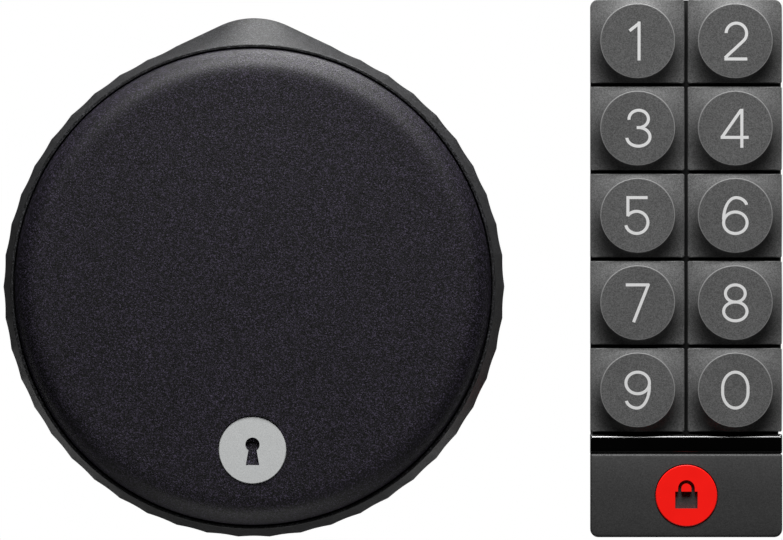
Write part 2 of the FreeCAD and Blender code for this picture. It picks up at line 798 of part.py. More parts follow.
def gear_cover():
    """Plate in front of the gears; the motor stands on it."""
    plate = cylinder(bore_radius - lug_reach - cover_side_gap, cover_start, cover_front)
    plate = plate.cut(cylinder(output_shaft_radius + running_clearance,
                               cover_start - 1, cover_front - shaft_cap, *final_place))
    for place in (second_place, first_place):
        plate = plate.cut(cylinder(axle_radius, cover_start - 1, cover_front - axle_cap, *place))
    plate = plate.cut(cylinder(axle_radius + motor_shaft_room, cover_start - 1,
                               cover_front + 1, *motor_place))
    for x, z in cover_legs:
        plate = plate.cut(cylinder(screw_radius + running_clearance,
                                   cover_start - 1, cover_front + 1, x, z))
    return plate


def screw(x, z, head_near, inwards):
    """A pan-head screw; inwards is +1 if its shank points away from the door."""
    if inwards > 0:
        head = cylinder(screw_head_radius, head_near, head_near + screw_head_height, x, z)
        shank_near = head_near + screw_head_height
        shank = cylinder(screw_radius, shank_near, shank_near + screw_length, x, z)
        return fused([head, shank])
    head = cylinder(screw_head_radius, head_near, head_near + screw_head_height, x, z)
    shank = cylinder(screw_radius, head_near - screw_length, head_near, x, z)
    recess = centred_block(driver_slot_length / 2, driver_slot_width / 2,
                           head_near + driver_slot_floor,
                           head_near + screw_head_height + 1, x, z)
    return fused([head, shank]).cut(recess)


def rotor_screws():
    """Nine like screws: chassis to barrel, cover to legs, and tray to barrel."""
    screws = [screw(x, z, rotor_start, 1) for x, z in screw_places(lug_angles)]
    screws += [screw(x, z, cover_front, -1) for x, z in cover_legs]
    screws += [screw(x, z, tray_front, -1) for x, z in screw_places(tray_lug_angles)]
    return Part.makeCompound(screws)


def motor():
    """Flat direct-current motor with a bore for its shaft and two terminals."""
    can = cylinder(motor_radius, cover_front, motor_front, *motor_place)
    can = can.makeFillet(motor_rounding, [edge for edge in can.Edges if edge.Length > motor_radius])
    x, z = motor_place
    terminals = [centred_block(terminal_width / 2, terminal_sheet / 2, motor_front - terminal_root,
                               motor_front + terminal_height, x + side * terminal_offset, z)
                 for side in (-1, 1)]
    can = fused([can] + terminals)
    return can.cut(cylinder(axle_radius + running_clearance, cover_front - 1,
                            cover_front + motor_shaft_length + shaft_cap, x, z))


def main_board():
    """Control board with its larger components."""
    radius = lug_radius - board_edge_gap
    board = cylinder(radius, board_start, board_start + board_thickness)
    parts = [block(left, right, board_start - height, board_start + solder_root, low, high)
             for left, right, low, high, height in board_parts]
    return fused([board] + parts)


def buzzer():
    """Sounder on the rear of the board, beside the motor."""
    x, z = buzzer_place
    body = cylinder(buzzer_radius, board_start - buzzer_height, board_start, x, z)
    return body.cut(cylinder(buzzer_hole_radius, board_start - buzzer_height - 1, board_start - 1, x, z))


def magnet_places():
    radius = bore_radius - magnet_inset
    return [around(angle, radius) for angle in (90.0, 270.0)] + \
           [around(angle, radius) for angle in (0.0, 180.0)]


def battery_tray():
    """Tray across the barrel with a cradle for two cells and posts for the magnets."""
    floor = cylinder(bore_radius - insert_gap, tray_start, tray_front)
    wall_far = cell_depth + cradle_reach
    cradle = centred_block(pack_half_width + tray_wall, pack_half_length + tray_wall,
                           tray_front - join, wall_far)
    cradle = cradle.cut(centred_block(pack_half_width, pack_half_length, tray_front, wall_far + 1))
    rib = block(-cell_side_gap / 2, cell_side_gap / 2, tray_front - join, cell_depth - rib_drop,
                -pack_half_length, pack_half_length)
    posts = [cylinder(magnet_radius + magnet_post_wall, tray_front - join,
                      magnet_seat + magnet_thickness - magnet_proud, x, z)
             for x, z in magnet_places()]
    inside = cylinder(bore_radius - cradle_side_gap, tray_start, lock_depth)
    cradle = cradle.common(inside)
    tray = fused([floor, cradle, rib] + posts)
    for x, z in magnet_places():
        tray = tray.cut(cylinder(magnet_radius, magnet_seat, lock_depth, x, z))
    for x, z in screw_places(tray_lug_angles):
        tray = tray.cut(cylinder(screw_radius + running_clearance,
                                 tray_start - 1, tray_front + 1, x, z))
        tray = tray.cut(cylinder(screw_head_radius + tray_head_room, tray_front,
                                 tray_front + tray_pocket_height, x, z))
    return tray


def upright_cell(x, flip, diameter, length, depth, z, nub_radius, nub_height):
    """A round cell standing along Z, with its positive nub up or down."""
    body_length = length - nub_height
    body = Part.makeCylinder(diameter / 2, body_length,
                             Vector(0, 0, -length / 2), Vector(0, 0, 1))
    body = body.makeFillet(cell_rounding, [edge for edge in body.Edges if edge.Length > diameter])
    nub = Part.makeCylinder(nub_radius, nub_height + 1,
                            Vector(0, 0, length / 2 - nub_height - 1), Vector(0, 0, 1))
    cell = fused([body, nub])
    if flip:
        cell.rotate(Vector(0, 0, 0), Vector(0, 1, 0), 180)
    cell.translate(Vector(x, -depth, z))
    return cell


def lock_cell(side):
    x = side * (cell_diameter + cell_side_gap) / 2
    return upright_cell(x, side > 0, cell_diameter, cell_length, cell_depth, 0.0,
                        cell_nub_radius, cell_nub_height)


def contact_set(x, half_length, depth, width, z):
    """Leaf contacts at both ends of one cell."""
    pieces = []
    for side in (-1, 1):
        edge = half_length - contact_gap
        wall_face = sorted((side * edge, side * (edge - contact_sheet)))
        plate = block(x - width / 2, x + width / 2, depth - width / 2, depth + width / 2,
                      z + wall_face[0], z + wall_face[1])
        tip = sorted((side * (edge - contact_sheet + join),
                      side * (half_length - contact_room + contact_gap)))
        dimple = Part.makeCylinder(contact_dimple_radius, tip[1] - tip[0], Vector(x, -depth, z + tip[0]),
                                   Vector(0, 0, 1))
        pieces.append(fused([plate, dimple]))
    return pieces


def lock_contacts():
    pieces = []
    for side in (-1, 1):
        pieces += contact_set(side * (cell_diameter + cell_side_gap) / 2,
                              pack_half_length, cell_depth - contact_rear_shift,
                              contact_width, 0.0)
    return Part.makeCompound(pieces)


def tray_magnets():
    return Part.makeCompound([cylinder(magnet_radius, magnet_seat,
                                       magnet_seat + magnet_thickness, x, z)
                              for x, z in magnet_places()])


def face_keepers():
    """Steel discs on the inside of the faceplate, facing the tray's magnets."""
    near = magnet_seat + magnet_thickness + keeper_gap
    return Part.makeCompound([cylinder(magnet_radius, near, near + keeper_thickness, x, z)
                              for x, z in magnet_places()])


def dome_outline(radius, centre, crown, edge_width, edge_rise):
    """Edges of half a dome's section: a gentle crown, then a rounded edge."""
    knee = radius - edge_width
    knee_depth = centre - crown
    crown_radius = (knee ** 2 + crown ** 2) / (2 * crown)
    slope = math.asin(knee / crown_radius)
    top = Vector(0, -centre, 0)
    middle_angle = slope / 2
    middle = Vector(crown_radius * math.sin(middle_angle),
                    -(centre - crown_radius * (1 - math.cos(middle_angle))), 0)
    knee_point = Vector(knee, -knee_depth, 0)
    crown_edge = arc_edge(top, middle, knee_point)
    rim = Vector(radius, -(knee_depth - edge_rise), 0)
    start = (math.cos(slope), -math.sin(slope))
    dx = edge_width
    dd = -edge_rise
    normal = (-math.sin(slope), -math.cos(slope))
    edge_radius = (dx ** 2 + dd ** 2) / (2 * (dx * normal[0] + dd * normal[1]))
    turn = 2 * math.atan2(dx * normal[0] + dd * normal[1], dx * start[0] + dd * start[1])
    half = turn / 2
    out = edge_radius * math.sin(half)
    across = edge_radius * (1 - math.cos(half))
    bend = Vector(knee + out * start[0] + across * normal[0],
                  -(knee_depth + out * start[1] + across * normal[1]), 0)
    return [crown_edge, arc_edge(knee_point, bend, rim)], rim


def faceplate():
    """Domed battery cover, held by magnets; its skirt sits in the barrel's rebate."""
    outside, rim = dome_outline(face_radius, lock_depth, dome_crown, dome_edge_width,
                                dome_rise - dome_crown)
    inner_radius = face_radius - face_wall
    inside, inner_rim = dome_outline(inner_radius, lock_depth - face_wall, dome_crown,
                                     dome_edge_width - edge_thinning,
                                     dome_rise - dome_crown - edge_thinning)
    edges = list(outside)
    edges.append(Part.makeLine(rim, Vector(face_radius, -skirt_depth, 0)))
    edges.append(Part.makeLine(Vector(face_radius, -skirt_depth, 0),
                               Vector(inner_radius, -skirt_depth, 0)))
    edges.append(Part.makeLine(Vector(inner_radius, -skirt_depth, 0), inner_rim))
    edges += [inside[1], inside[0]]
    edges.append(Part.makeLine(Vector(0, -(lock_depth - face_wall), 0), Vector(0, -lock_depth, 0)))
    section = Part.Face(Part.Wire(Part.__sortEdges__(edges)))
    shell = section.revolve(Vector(0, 0, 0), Vector(0, 1, 0), 360)
    near = magnet_seat + magnet_thickness + keeper_gap
    posts = [cylinder(magnet_radius + magnet_post_wall, near, lock_depth - face_wall, x, z)
             for x, z in magnet_places()]
    shell = fused([shell] + posts)
    for x, z in magnet_places():
        shell = shell.cut(cylinder(magnet_radius, near - 1, near + keeper_thickness, x, z))
    pocket_floor = badge_floor()
    pocket = cylinder(badge_radius + badge_clearance, pocket_floor, lock_depth + 1, 0, -badge_drop)
    return shell.cut(pocket)


def badge_floor():
    """Depth of the badge pocket's floor: below the dome at the badge's outer edge."""
    knee = face_radius - dome_edge_width
    crown_radius = (knee ** 2 + dome_crown ** 2) / (2 * dome_crown)
    reach = min(badge_drop + badge_radius, knee)
    drop = crown_radius - math.sqrt(crown_radius ** 2 - reach ** 2)
    return lock_depth - drop - badge_pocket_depth


def keyhole(near, far, x, z):
    """A keyhole: a round with a foot that widens downwards."""
    top = z + keyhole_rise
    head = cylinder(keyhole_radius, near, far, x, top)
    low = top - keyhole_length
    corners = [Vector(x - keyhole_neck, -near, top), Vector(x + keyhole_neck, -near, top),
               Vector(x + keyhole_foot, -near, low), Vector(x - keyhole_foot, -near, low)]
    foot = Part.Face(Part.makePolygon(corners + corners[:1])).extrude(Vector(0, near - far, 0))
    return fused([head, foot])


def face_badge():
    """Satin metal disc glued into the faceplate, pierced with a plain keyhole."""
    near = badge_floor()
    far = near + badge_pocket_depth + badge_proud
    disc = cylinder(badge_radius, near, far, 0, -badge_drop)
    disc = disc.makeChamfer(badge_edge, [edge for edge in disc.Edges
                                  if abs(edge.CenterOfMass.y + far) < 0.01])
    return disc.cut(keyhole(near - 1, far + 1, 0.0, -badge_drop))


# ---- keypad --------------------------------------------------------------------------------
def bar(a, b, near, far):
    """A straight stroke between two points, with square ends."""
    dx, dz = b[0] - a[0], b[1] - a[1]
    length = math.hypot(dx, dz)
    px, pz = -dz / length * digit_stroke / 2, dx / length * digit_stroke / 2
    corners = [Vector(a[0] + px, -near, a[1] + pz), Vector(b[0] + px, -near, b[1] + pz),
               Vector(b[0] - px, -near, b[1] - pz), Vector(a[0] - px, -near, a[1] - pz)]
    return Part.Face(Part.makePolygon(corners + corners[:1])).extrude(Vector(0, near - far, 0))


def oval_prism(centre, half_width, half_height, near, far):
    """An elliptical prism."""
    tall = half_height > half_width
    major, minor = (half_height, half_width) if tall else (half_width, half_height)
    if major - minor < 1e-6:
        return cylinder(major, near, far, *centre)
    curve = Part.Ellipse(Vector(0, 0, 0), major, minor).toShape()
    face = Part.Face(Part.Wire([curve]))
    if tall:
        face.rotate(Vector(0, 0, 0), Vector(0, 0, 1), 90)
    face.rotate(Vector(0, 0, 0), Vector(1, 0, 0), 90)
    face.translate(Vector(centre[0], -near, centre[1]))
    return face.extrude(Vector(0, near - far, 0))


def bow(centre, half_width, half_height, start, end, near, far):
    """A curved stroke: part of an oval ring from one angle to another, degrees from +X."""
    half = digit_stroke / 2
    hoop = oval_prism(centre, half_width + half, half_height + half, near, far)
    hoop = hoop.cut(oval_prism(centre, half_width - half, half_height - half, near - 1, far + 1))
    if end - start >= 360:
        return hoop
    count = max(2, int(math.ceil((end - start) / 60.0)))
    corners = [Vector(centre[0], -near + 1, centre[1])]
    for i in range(count + 1):
        a = math.radians(start + (end - start) * i / count)
        corners.append(Vector(centre[0] + 9 * math.cos(a), -near + 1, centre[1] + 9 * math.sin(a)))
    wedge = Part.Face(Part.makePolygon(corners + corners[:1]))
    return hoop.common(wedge.extrude(Vector(0, near - far - 2, 0)))


# Strokes of each digit, 5.7 mm high and centred on its key. A bar is its two ends. A bow is
# an oval's centre, half width, half height, and its start and end angles.
digit_strokes = {
    1: ([((0.2, -2.85), (0.2, 2.85)), ((-1.2, 1.5), (0.3, 2.66))], []),
    2: ([((-1.5, -2.45), (1.17, 0.02)), ((-1.6, -2.63), (1.75, -2.63))],
        [((0.15, 1.12), 1.5, 1.5, -47.0, 178.0)]),
    3: ([((-0.15, 0.1), (0.5, 0.1))],
        [((0.15, 1.37), 1.42, 1.27, -75.0, 185.0), ((0.1, -1.25), 1.7, 1.37, -175.0, 75.0)]),
    4: ([((0.95, -2.85), (0.95, 2.85)), ((-2.15, -1.33), (1.95, -1.33)),
         ((-1.95, -1.3), (0.85, 2.7))], []),
    5: ([((-1.65, 2.63), (1.45, 2.63)), ((-1.43, 2.8), (-1.43, -0.1))],
        [((-0.15, -1.0), 1.65, 1.62, -165.0, 145.0)]),
    6: ([], [((0.0, -1.05), 1.72, 1.58, 0.0, 360.0), ((0.1, -0.6), 1.82, 3.23, 90.0, 180.0),
             ((0.1, 1.25), 1.6, 1.38, 12.0, 90.0)]),
    7: ([((-1.75, 2.63), (1.7, 2.63)), ((1.6, 2.75), (-0.6, -2.83))], []),
    8: ([], [((0.0, 1.37), 1.45, 1.26, 0.0, 360.0), ((0.0, -1.25), 1.71, 1.38, 0.0, 360.0)]),
    9: ([], [((0.0, 1.05), 1.72, 1.58, 0.0, 360.0), ((-0.1, 0.6), 1.82, 3.23, -90.0, 0.0),
             ((-0.1, -1.25), 1.6, 1.38, -168.0, -90.0)]),
    0: ([((-1.86, -0.32), (-1.86, 0.32)), ((1.86, -0.32), (1.86, 0.32))],
        [((0.0, 0.3), 1.86, 2.33, 0.0, 180.0), ((0.0, -0.3), 1.86, 2.33, -180.0, 0.0)]),
}


def digit_solid(digit, x, z, near, far):
    """The strokes of one digit as prisms."""
    bars, bows = digit_strokes[digit]
    pieces = [bar(a, b, near, far) for a, b in bars]
    pieces += [bow(centre, rx, rz, start, end, near, far)
               for centre, rx, rz, start, end in bows]
    shape = pieces[0]
    if len(pieces) > 1:
        shape = pieces[0].multiFuse(pieces[1:])
    shape.translate(Vector(x, 0, z))
    return shape


def key_centre(digit):
    """The centre of a key: 1 and 2 in the top row, 9 and 0 in the bottom one."""
    index = (digit - 1) % 10
    row, column = divmod(index, 2)
    x = keypad_x + (column - 0.5) * (key_width + key_gap)
    z = keypad_top - key_height / 2 - row * (key_height + row_gap)
    return x, z


def key_foot_points(digit):
    """Corner radii of a key's square foot: the keypad's own two top corners are rounder."""
    radii = {1: (key_corner, corner_radius, key_corner, key_corner),
             2: (corner_radius, key_corner, key_corner, key_corner)}
    return radii.get(digit, (key_corner,) * 4)


def foot_outline(x, z, half_width, half_height, radii, depth):
    """Eight edges of a rounded square: corner arcs and sides, from the right side's middle.

    The radii go anticlockwise from the upper right corner.
    """
    signs = ((1, 1), (-1, 1), (-1, -1), (1, -1))
    corners = []
    for (sx, sz), radius in zip(signs, radii):
        cx = x + sx * (half_width - radius)
        cz = z + sz * (half_height - radius)
        middle = math.atan2(sz, sx)
        points = [Vector(cx + radius * math.cos(middle + turn), -depth,
                         cz + radius * math.sin(middle + turn))
                  for turn in (-math.pi / 4, 0, math.pi / 4)]
        corners.append(points)
    edges = []
    for i in range(4):
        edges.append(arc_edge(*corners[i]))
        edges.append(Part.makeLine(corners[i][2], corners[(i + 1) % 4][0]))
    return edges


def key_top():
    """A round table with a hollow flank that flattens out at the foot's corners."""
    far = math.hypot(key_width, key_height) / 2
    table_edge = keypad_depth - key_edge
    drop = table_edge - key_shoulder
    reach = far - key_crown_radius
    sweep = (reach ** 2 + drop ** 2) / (2 * drop)
    turn = math.atan2(reach, sweep - drop)
    middle = (far - sweep * math.sin(turn / 2), key_shoulder + sweep * (1 - math.cos(turn / 2)))
    lower = [(0, key_start), (far + 1, key_start), (far + 1, key_shoulder), (far, key_shoulder)]
    upper = [(key_crown_radius, table_edge), (key_crown_radius - key_edge, keypad_depth),
             (0, keypad_depth)]
    points = [Vector(radius, -depth, 0) for radius, depth in lower + [middle] + upper]
    edges = [Part.makeLine(a, b) for a, b in zip(points[:3], points[1:4])]
    edges.append(arc_edge(points[3], points[4], points[5]))
    edges += [Part.makeLine(a, b) for a, b in zip(points[5:], points[6:] + points[:1])]
    return Part.Face(Part.Wire(edges)).revolve(Vector(0, 0, 0), Vector(0, 1, 0), 360)


def rounded_prism(x, z, half_width, half_height, radii, near, far):
    """A prism of a rounded square."""
    return ruled_solid([foot_outline(x, z, half_width, half_height, radii, near),
                        foot_outline(x, z, half_width, half_height, radii, far)])


def stem(x, z):
    """The short stem behind a key, which presses its switch through the mat."""
    return cylinder(key_stem_radius, key_start - key_stem_reach, key_start + key_stem_root, x, z)


def key(digit):
    """Key cap: a turned top cut square, its stem, and an engraved digit."""
    x, z = key_centre(digit)
    top = key_top()
    top.translate(Vector(x, 0, z))
    cap = top.common(rounded_prism(x, z, key_width / 2, key_height / 2,
                                   key_foot_points(digit), key_start - 1, keypad_depth + 1))
    cap = cap.fuse(stem(x, z))
    return cap.cut(digit_solid(digit, x, z, keypad_depth - legend_depth, keypad_depth + 1))


def gloss_strip():
    """Glossy bar with rounded long edges, between the keys and the lock button."""
    front = keypad_depth - strip_drop
    strip = block(keypad_left, keypad_left + keypad_width, frame_front, front,
                  strip_top - strip_height, strip_top)
    long_edges = [edge for edge in strip.Edges
                  if edge.Length > keypad_width - 0.01 and edge.CenterOfMass.y < 0.01 - front]
    return strip.makeFillet(strip_edge, long_edges)


def padlock(x, z, near, far):
    """A plain padlock figure: a body with a shackle."""
    low = z - padlock_drop
    body = block(x - padlock_width / 2, x + padlock_width / 2, near, far,
                 low, low + padlock_height)
    top = low + padlock_height + shackle_leg
    hoop = ring(shackle_radius + shackle_stroke / 2, shackle_radius - shackle_stroke / 2,
                near, far, x, top)
    hoop = hoop.common(block(x - 3, x + 3, near, far, top, top + 3))
    legs = [block(x + side * shackle_radius - shackle_stroke / 2,
                  x + side * shackle_radius + shackle_stroke / 2, near, far,
                  low + padlock_height - join, top) for side in (-1, 1)]
    return fused([body, hoop] + legs)


def lock_button():
    """Wide button below the strip, with a pocket for its badge."""
    radii = (key_corner, key_corner, corner_radius, corner_radius)
    z = panel_top - panel_height / 2
    half = keypad_width / 2
    far = key_start + panel_thickness
    low = foot_outline(keypad_x, z, half, panel_height / 2, radii, key_start)
    high = foot_outline(keypad_x, z, half, panel_height / 2, radii, far - panel_edge)
    top_radii = [max(radius - panel_edge, 0.1) for radius in radii]
    top = foot_outline(keypad_x, z, half - panel_edge, panel_height / 2 - panel_edge,
                       top_radii, far)
    panel = ruled_solid([low, high, top])
    panel = panel.fuse(stem(keypad_x, z))
    pocket = cylinder(button_badge_radius + badge_clearance, far - badge_pocket_depth,
                      far + 1, keypad_x, z)
    return panel.cut(pocket)


def button_badge():
    """Red enamelled disc in the lock button, pierced with a plain padlock figure."""
    z = panel_top - panel_height / 2
    far = key_start + panel_thickness
    near = far - badge_pocket_depth
    top = far + badge_proud
    disc = cylinder(button_badge_radius, near, top, keypad_x, z)
    disc = disc.makeChamfer(badge_edge, [edge for edge in disc.Edges
                                  if abs(edge.CenterOfMass.y + top) < 0.01])
    return disc.cut(padlock(keypad_x, z, near - 1, top + 1))


def stud_places():
    return [(keypad_x, keypad_z + stud_offset_up), (keypad_x, keypad_z - stud_offset_down)]


def keypad_backplate():
    """Wall plate with two T-shaped studs that the keypad hangs on."""
    half_width = keypad_width / 2 - backplate_inset
    half_height = keypad_height / 2 - backplate_inset
    near = wall_pad_thickness
    far = near + backplate_thickness
    radii = (corner_radius,) * 4
    plate = rounded_prism(keypad_x, keypad_z, half_width, half_height, radii, near, far)
    head_near = case_start + case_back + slot_clearance
    studs = []
    for x, z in stud_places():
        studs.append(centred_block(stud_neck_width / 2, stud_length / 2, far - join,
                                   head_near + join, x, z))
        studs.append(centred_block(stud_head_width / 2, stud_length / 2, head_near,
                                   head_near + stud_head_thickness, x, z))
    plate = fused([plate] + studs)
    for x, z in wall_screw_places():
        plate = plate.cut(cylinder(wall_screw_radius, near - 1, far + 1, x, z))
    return plate


def wall_screw_places():
    return [(keypad_x, keypad_z + side * wall_screw_spacing / 2) for side in (1, -1)]


def wall_pad():
    """Thin foam pad behind the wall plate."""
    half_width = keypad_width / 2 - backplate_inset
    half_height = keypad_height / 2 - backplate_inset
    radii = (corner_radius,) * 4
    pad = rounded_prism(keypad_x, keypad_z, half_width, half_height, radii, 0.0,
                        wall_pad_thickness)
    for x, z in wall_screw_places():
        pad = pad.cut(cylinder(wall_screw_radius, -1, wall_pad_thickness + 1, x, z))
    return pad


def stud_slot(x, z):
    """Keyhole slot for one stud: narrow at its top end, wide where the stud comes free."""
    near = case_start - 1
    far = case_start + case_back + 1
    narrow = stud_neck_width / 2 + slot_clearance
    wide = stud_head_width / 2 + slot_clearance
    top = z + stud_length / 2 + slot_clearance
    split = z - keypad_lift + stud_length / 2 + slot_clearance
    low = z - keypad_lift - stud_length / 2 - slot_clearance
    return block(x - narrow, x + narrow, near, far, low, top).fuse(
        block(x - wide, x + wide, near, far, low, split))


def keypad_case():
    """Rear case of the keypad, open at the front, with the battery opening in its back."""
    rear_radii = (corner_radius - case_chamfer,) * 4
    radii = (corner_radius,) * 4
    body = ruled_solid([
        foot_outline(keypad_x, keypad_z, case_half_width - case_chamfer,
                     case_half_height - case_chamfer, rear_radii, case_start),
        foot_outline(keypad_x, keypad_z, case_half_width, case_half_height, radii,
                     case_start + case_chamfer),
        foot_outline(keypad_x, keypad_z, case_half_width, case_half_height, radii,
                     frame_start)])
    inner_width = case_half_width - case_wall
    inner_height = case_half_height - case_wall
    body = body.cut(centred_block(inner_width, inner_height, case_start + case_back,
                                  frame_start + 1, keypad_x, keypad_z))
    body = body.cut(centred_block(door_half_width + door_clearance,
                                  door_half_height + door_clearance,
                                  case_start - 1, case_start + case_back + 1,
                                  keypad_x, keypad_z))
    walls = [centred_block(aaa_half_width + cell_bay_room, cradle_wall / 2, case_start + case_back - join,
                           keypad_board_start - board_rear_gap, keypad_x,
                           keypad_z + side * (cradle_end - cradle_wall / 2))
             for side in (-1, 1)]
    case = fused([body] + walls)
    for x, z in stud_places():
        case = case.cut(stud_slot(x, z))
    return case


def battery_door():
    """Snap-in cover over the keypad's cells, reached when the keypad is off the wall."""
    door = centred_block(door_half_width, door_half_height, case_start, door_front,
                         keypad_x, keypad_z)
    grip = [centred_block(door_groove_length / 2, door_groove_width / 2, case_start - 1,
                          case_start + door_groove_depth, keypad_x,
                          keypad_z - door_half_height + door_groove_start
                          + i * door_groove_pitch) for i in range(3)]
    for groove in grip:
        door = door.cut(groove)
    return door


def keypad_cells():
    """Two small cells side by side, one each way up."""
    cells = [upright_cell(keypad_x + side * (aaa_diameter + aaa_gap) / 2, side > 0,
                          aaa_diameter, aaa_length, aaa_depth, keypad_z,
                          aaa_nub_radius, aaa_nub_height)
             for side in (-1, 1)]
    return Part.makeCompound(cells)


def keypad_contacts():
    pieces = []
    for side in (-1, 1):
        pieces += contact_set(keypad_x + side * (aaa_diameter + aaa_gap) / 2,
                              aaa_half_length, aaa_depth, aaa_contact_width, keypad_z)
    return Part.makeCompound(pieces)


def keypad_board():
    return centred_block(board_half_width, board_half_height, keypad_board_start, dome_start,
                         keypad_x, keypad_z)


def button_centre():
    return keypad_x, panel_top - panel_height / 2


def press_places():
    return [key_centre(digit) for digit in range(10)] + [button_centre()]


def dome_switches():
    """Snap domes on the board, one under each key and one under the lock button."""
    return Part.makeCompound([cylinder(dome_radius, dome_start, dome_start + dome_height, x, z)
                              for x, z in press_places()])


def backlight_leds():
    """One small light beside each key's switch."""
    return Part.makeCompound([centred_block(led_width / 2, led_length / 2, dome_start,
                                            dome_start + led_height, x + led_offset, z)
                              for x, z in press_places()[:10]])


def key_mat():
    """Rubber sheet with a boss under each key, drawn at its pressed height."""
    sheet = centred_block(board_half_width, board_half_height, mat_start, frame_start,
                          keypad_x, keypad_z)
    bosses = [cylinder(mat_boss_radius, frame_start - join, key_start - key_stem_reach
                       - key_travel - travel_spare / 2, x, z) for x, z in press_places()]
    return fused([sheet] + bosses)


def key_frame():
    """Thin dark frame that closes the case: a window for each key's stem, and a notch in
    each side beside the strip, for pushing the keypad up off its studs."""
    half_width = keypad_width / 2 - frame_inset
    plate = rounded_prism(keypad_x, keypad_z, half_width, keypad_height / 2 - frame_inset,
                          (corner_radius,) * 4, frame_start, frame_front)
    for x, z in press_places():
        plate = plate.cut(centred_block(frame_window / 2, frame_window / 2,
                                        frame_start - 1, frame_front + 1, x, z))
    for side in (-1, 1):
        plate = plate.cut(centred_block(case_inset, strip_gap / 2, frame_start - 1,
                                        frame_front + 1, keypad_x + side * half_width,
                                        strip_top + strip_gap / 2))
    return plate


os.makedirs("parts", exist_ok=True)
_, tooth_second, tooth_first, _ = train_teeth()

write("mounting_plate", mounting_plate())
write("lock_base", lock_base())
write("ring_gear", ring_gear())
write("hub_bushing", hub_bushing())
write("latch_right", latch(1))
write("latch_left", latch(-1))
write("latch_pins", latch_pins())

write("barrel", barrel())
write("chassis_plate", chassis_plate())
write("drive_hub", drive_hub())
write("hub_clip", hub_clip())
write("tailpiece_adapter", tailpiece_adapter())
write("output_gear", output_gear())
write("second_gear", idler(second_place, tooth_second, 1))
write("first_gear", idler(first_place, tooth_first, 2))
write("motor_pinion", motor_pinion())
write("gear_axles", gear_axles())
write("gear_cover", gear_cover())
write("rotor_screws", rotor_screws())
write("motor", motor())
write("main_board", main_board())
write("buzzer", buzzer())
write("battery_tray", battery_tray())
write("lock_cell_left", lock_cell(-1))
write("lock_cell_right", lock_cell(1))
write("lock_contacts", lock_contacts())
write("tray_magnets", tray_magnets())
write("faceplate", faceplate())
write("face_keepers", face_keepers())
write("face_badge", face_badge())

write("keypad_backplate", keypad_backplate())
write("wall_pad", wall_pad())
write("keypad_case", keypad_case())
write("battery_door", battery_door())
write("keypad_cells", keypad_cells())
write("keypad_contacts", keypad_contacts())
write("keypad_board", keypad_board())
write("dome_switches", dome_switches())
write("backlight_leds", backlight_leds())
write("key_mat", key_mat())
write("key_frame", key_frame())
for number in range(10):
    write("key_" + str(number), key(number))
write("gloss_strip", gloss_strip())
write("lock_button", lock_button())
write("button_badge", button_badge())
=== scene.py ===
"""Looks of the keypad smart lock: a round motor lock and its wall keypad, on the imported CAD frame."""
import bpy
import bmesh
import json
import math
from mathutils import Matrix, Vector

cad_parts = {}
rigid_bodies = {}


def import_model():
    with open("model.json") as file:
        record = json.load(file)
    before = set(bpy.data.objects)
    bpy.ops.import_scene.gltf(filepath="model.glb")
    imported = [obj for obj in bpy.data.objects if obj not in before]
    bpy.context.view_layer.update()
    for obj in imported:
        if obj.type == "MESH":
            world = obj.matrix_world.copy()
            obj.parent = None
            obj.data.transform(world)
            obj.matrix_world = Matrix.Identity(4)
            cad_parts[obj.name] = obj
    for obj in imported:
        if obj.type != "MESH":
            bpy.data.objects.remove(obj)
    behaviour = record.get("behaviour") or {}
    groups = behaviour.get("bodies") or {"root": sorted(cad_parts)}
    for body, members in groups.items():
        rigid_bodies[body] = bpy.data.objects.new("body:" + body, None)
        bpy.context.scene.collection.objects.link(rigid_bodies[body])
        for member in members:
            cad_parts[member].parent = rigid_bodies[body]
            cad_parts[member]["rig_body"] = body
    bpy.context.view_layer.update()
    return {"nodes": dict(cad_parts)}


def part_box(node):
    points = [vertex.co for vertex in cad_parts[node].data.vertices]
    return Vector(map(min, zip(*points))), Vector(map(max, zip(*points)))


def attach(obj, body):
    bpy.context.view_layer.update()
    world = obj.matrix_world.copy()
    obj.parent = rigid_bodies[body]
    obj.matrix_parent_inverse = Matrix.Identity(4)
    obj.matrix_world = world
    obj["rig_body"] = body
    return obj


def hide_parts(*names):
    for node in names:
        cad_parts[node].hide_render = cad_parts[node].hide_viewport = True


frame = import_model()
nodes = frame["nodes"]

# ---- Studio ------------------------------------------------------------------------------
# A still-life studio: the lock and keypad hang in front of white, straight on to a long
# lens, under two soft boxes overhead, with weak ones behind and below to draw the edges.
MM = 0.001
camera_place = Vector((19.5, -1200.0, 2.35)) * MM
lens_mm = 370.5
scene = bpy.context.scene
scene.view_settings.view_transform = "Standard"

camera_data = bpy.data.cameras.new("long_lens")
camera_data.lens = lens_mm
camera_data.sensor_width = 36.0
camera_data.clip_start = 0.1
camera_data.clip_end = 20.0
camera = bpy.data.objects.new("long_lens", camera_data)
camera.location = camera_place
camera.rotation_euler = (math.radians(90), 0, 0)
scene.collection.objects.link(camera)
scene.camera = camera


def soft_box(name, place, target, width, height, watts):
    """A rectangular area light that faces a point. Places are in metres."""
    data = bpy.data.lights.new(name, "AREA")
    data.shape = "RECTANGLE"
    data.size, data.size_y, data.energy = width, height, watts
    box = bpy.data.objects.new(name, data)
    box.location = place
    aim = Vector(target) - Vector(place)
    box.rotation_euler = aim.to_track_quat("-Z", "Y").to_euler()
    box.visible_camera = False
    scene.collection.objects.link(box)
    return box


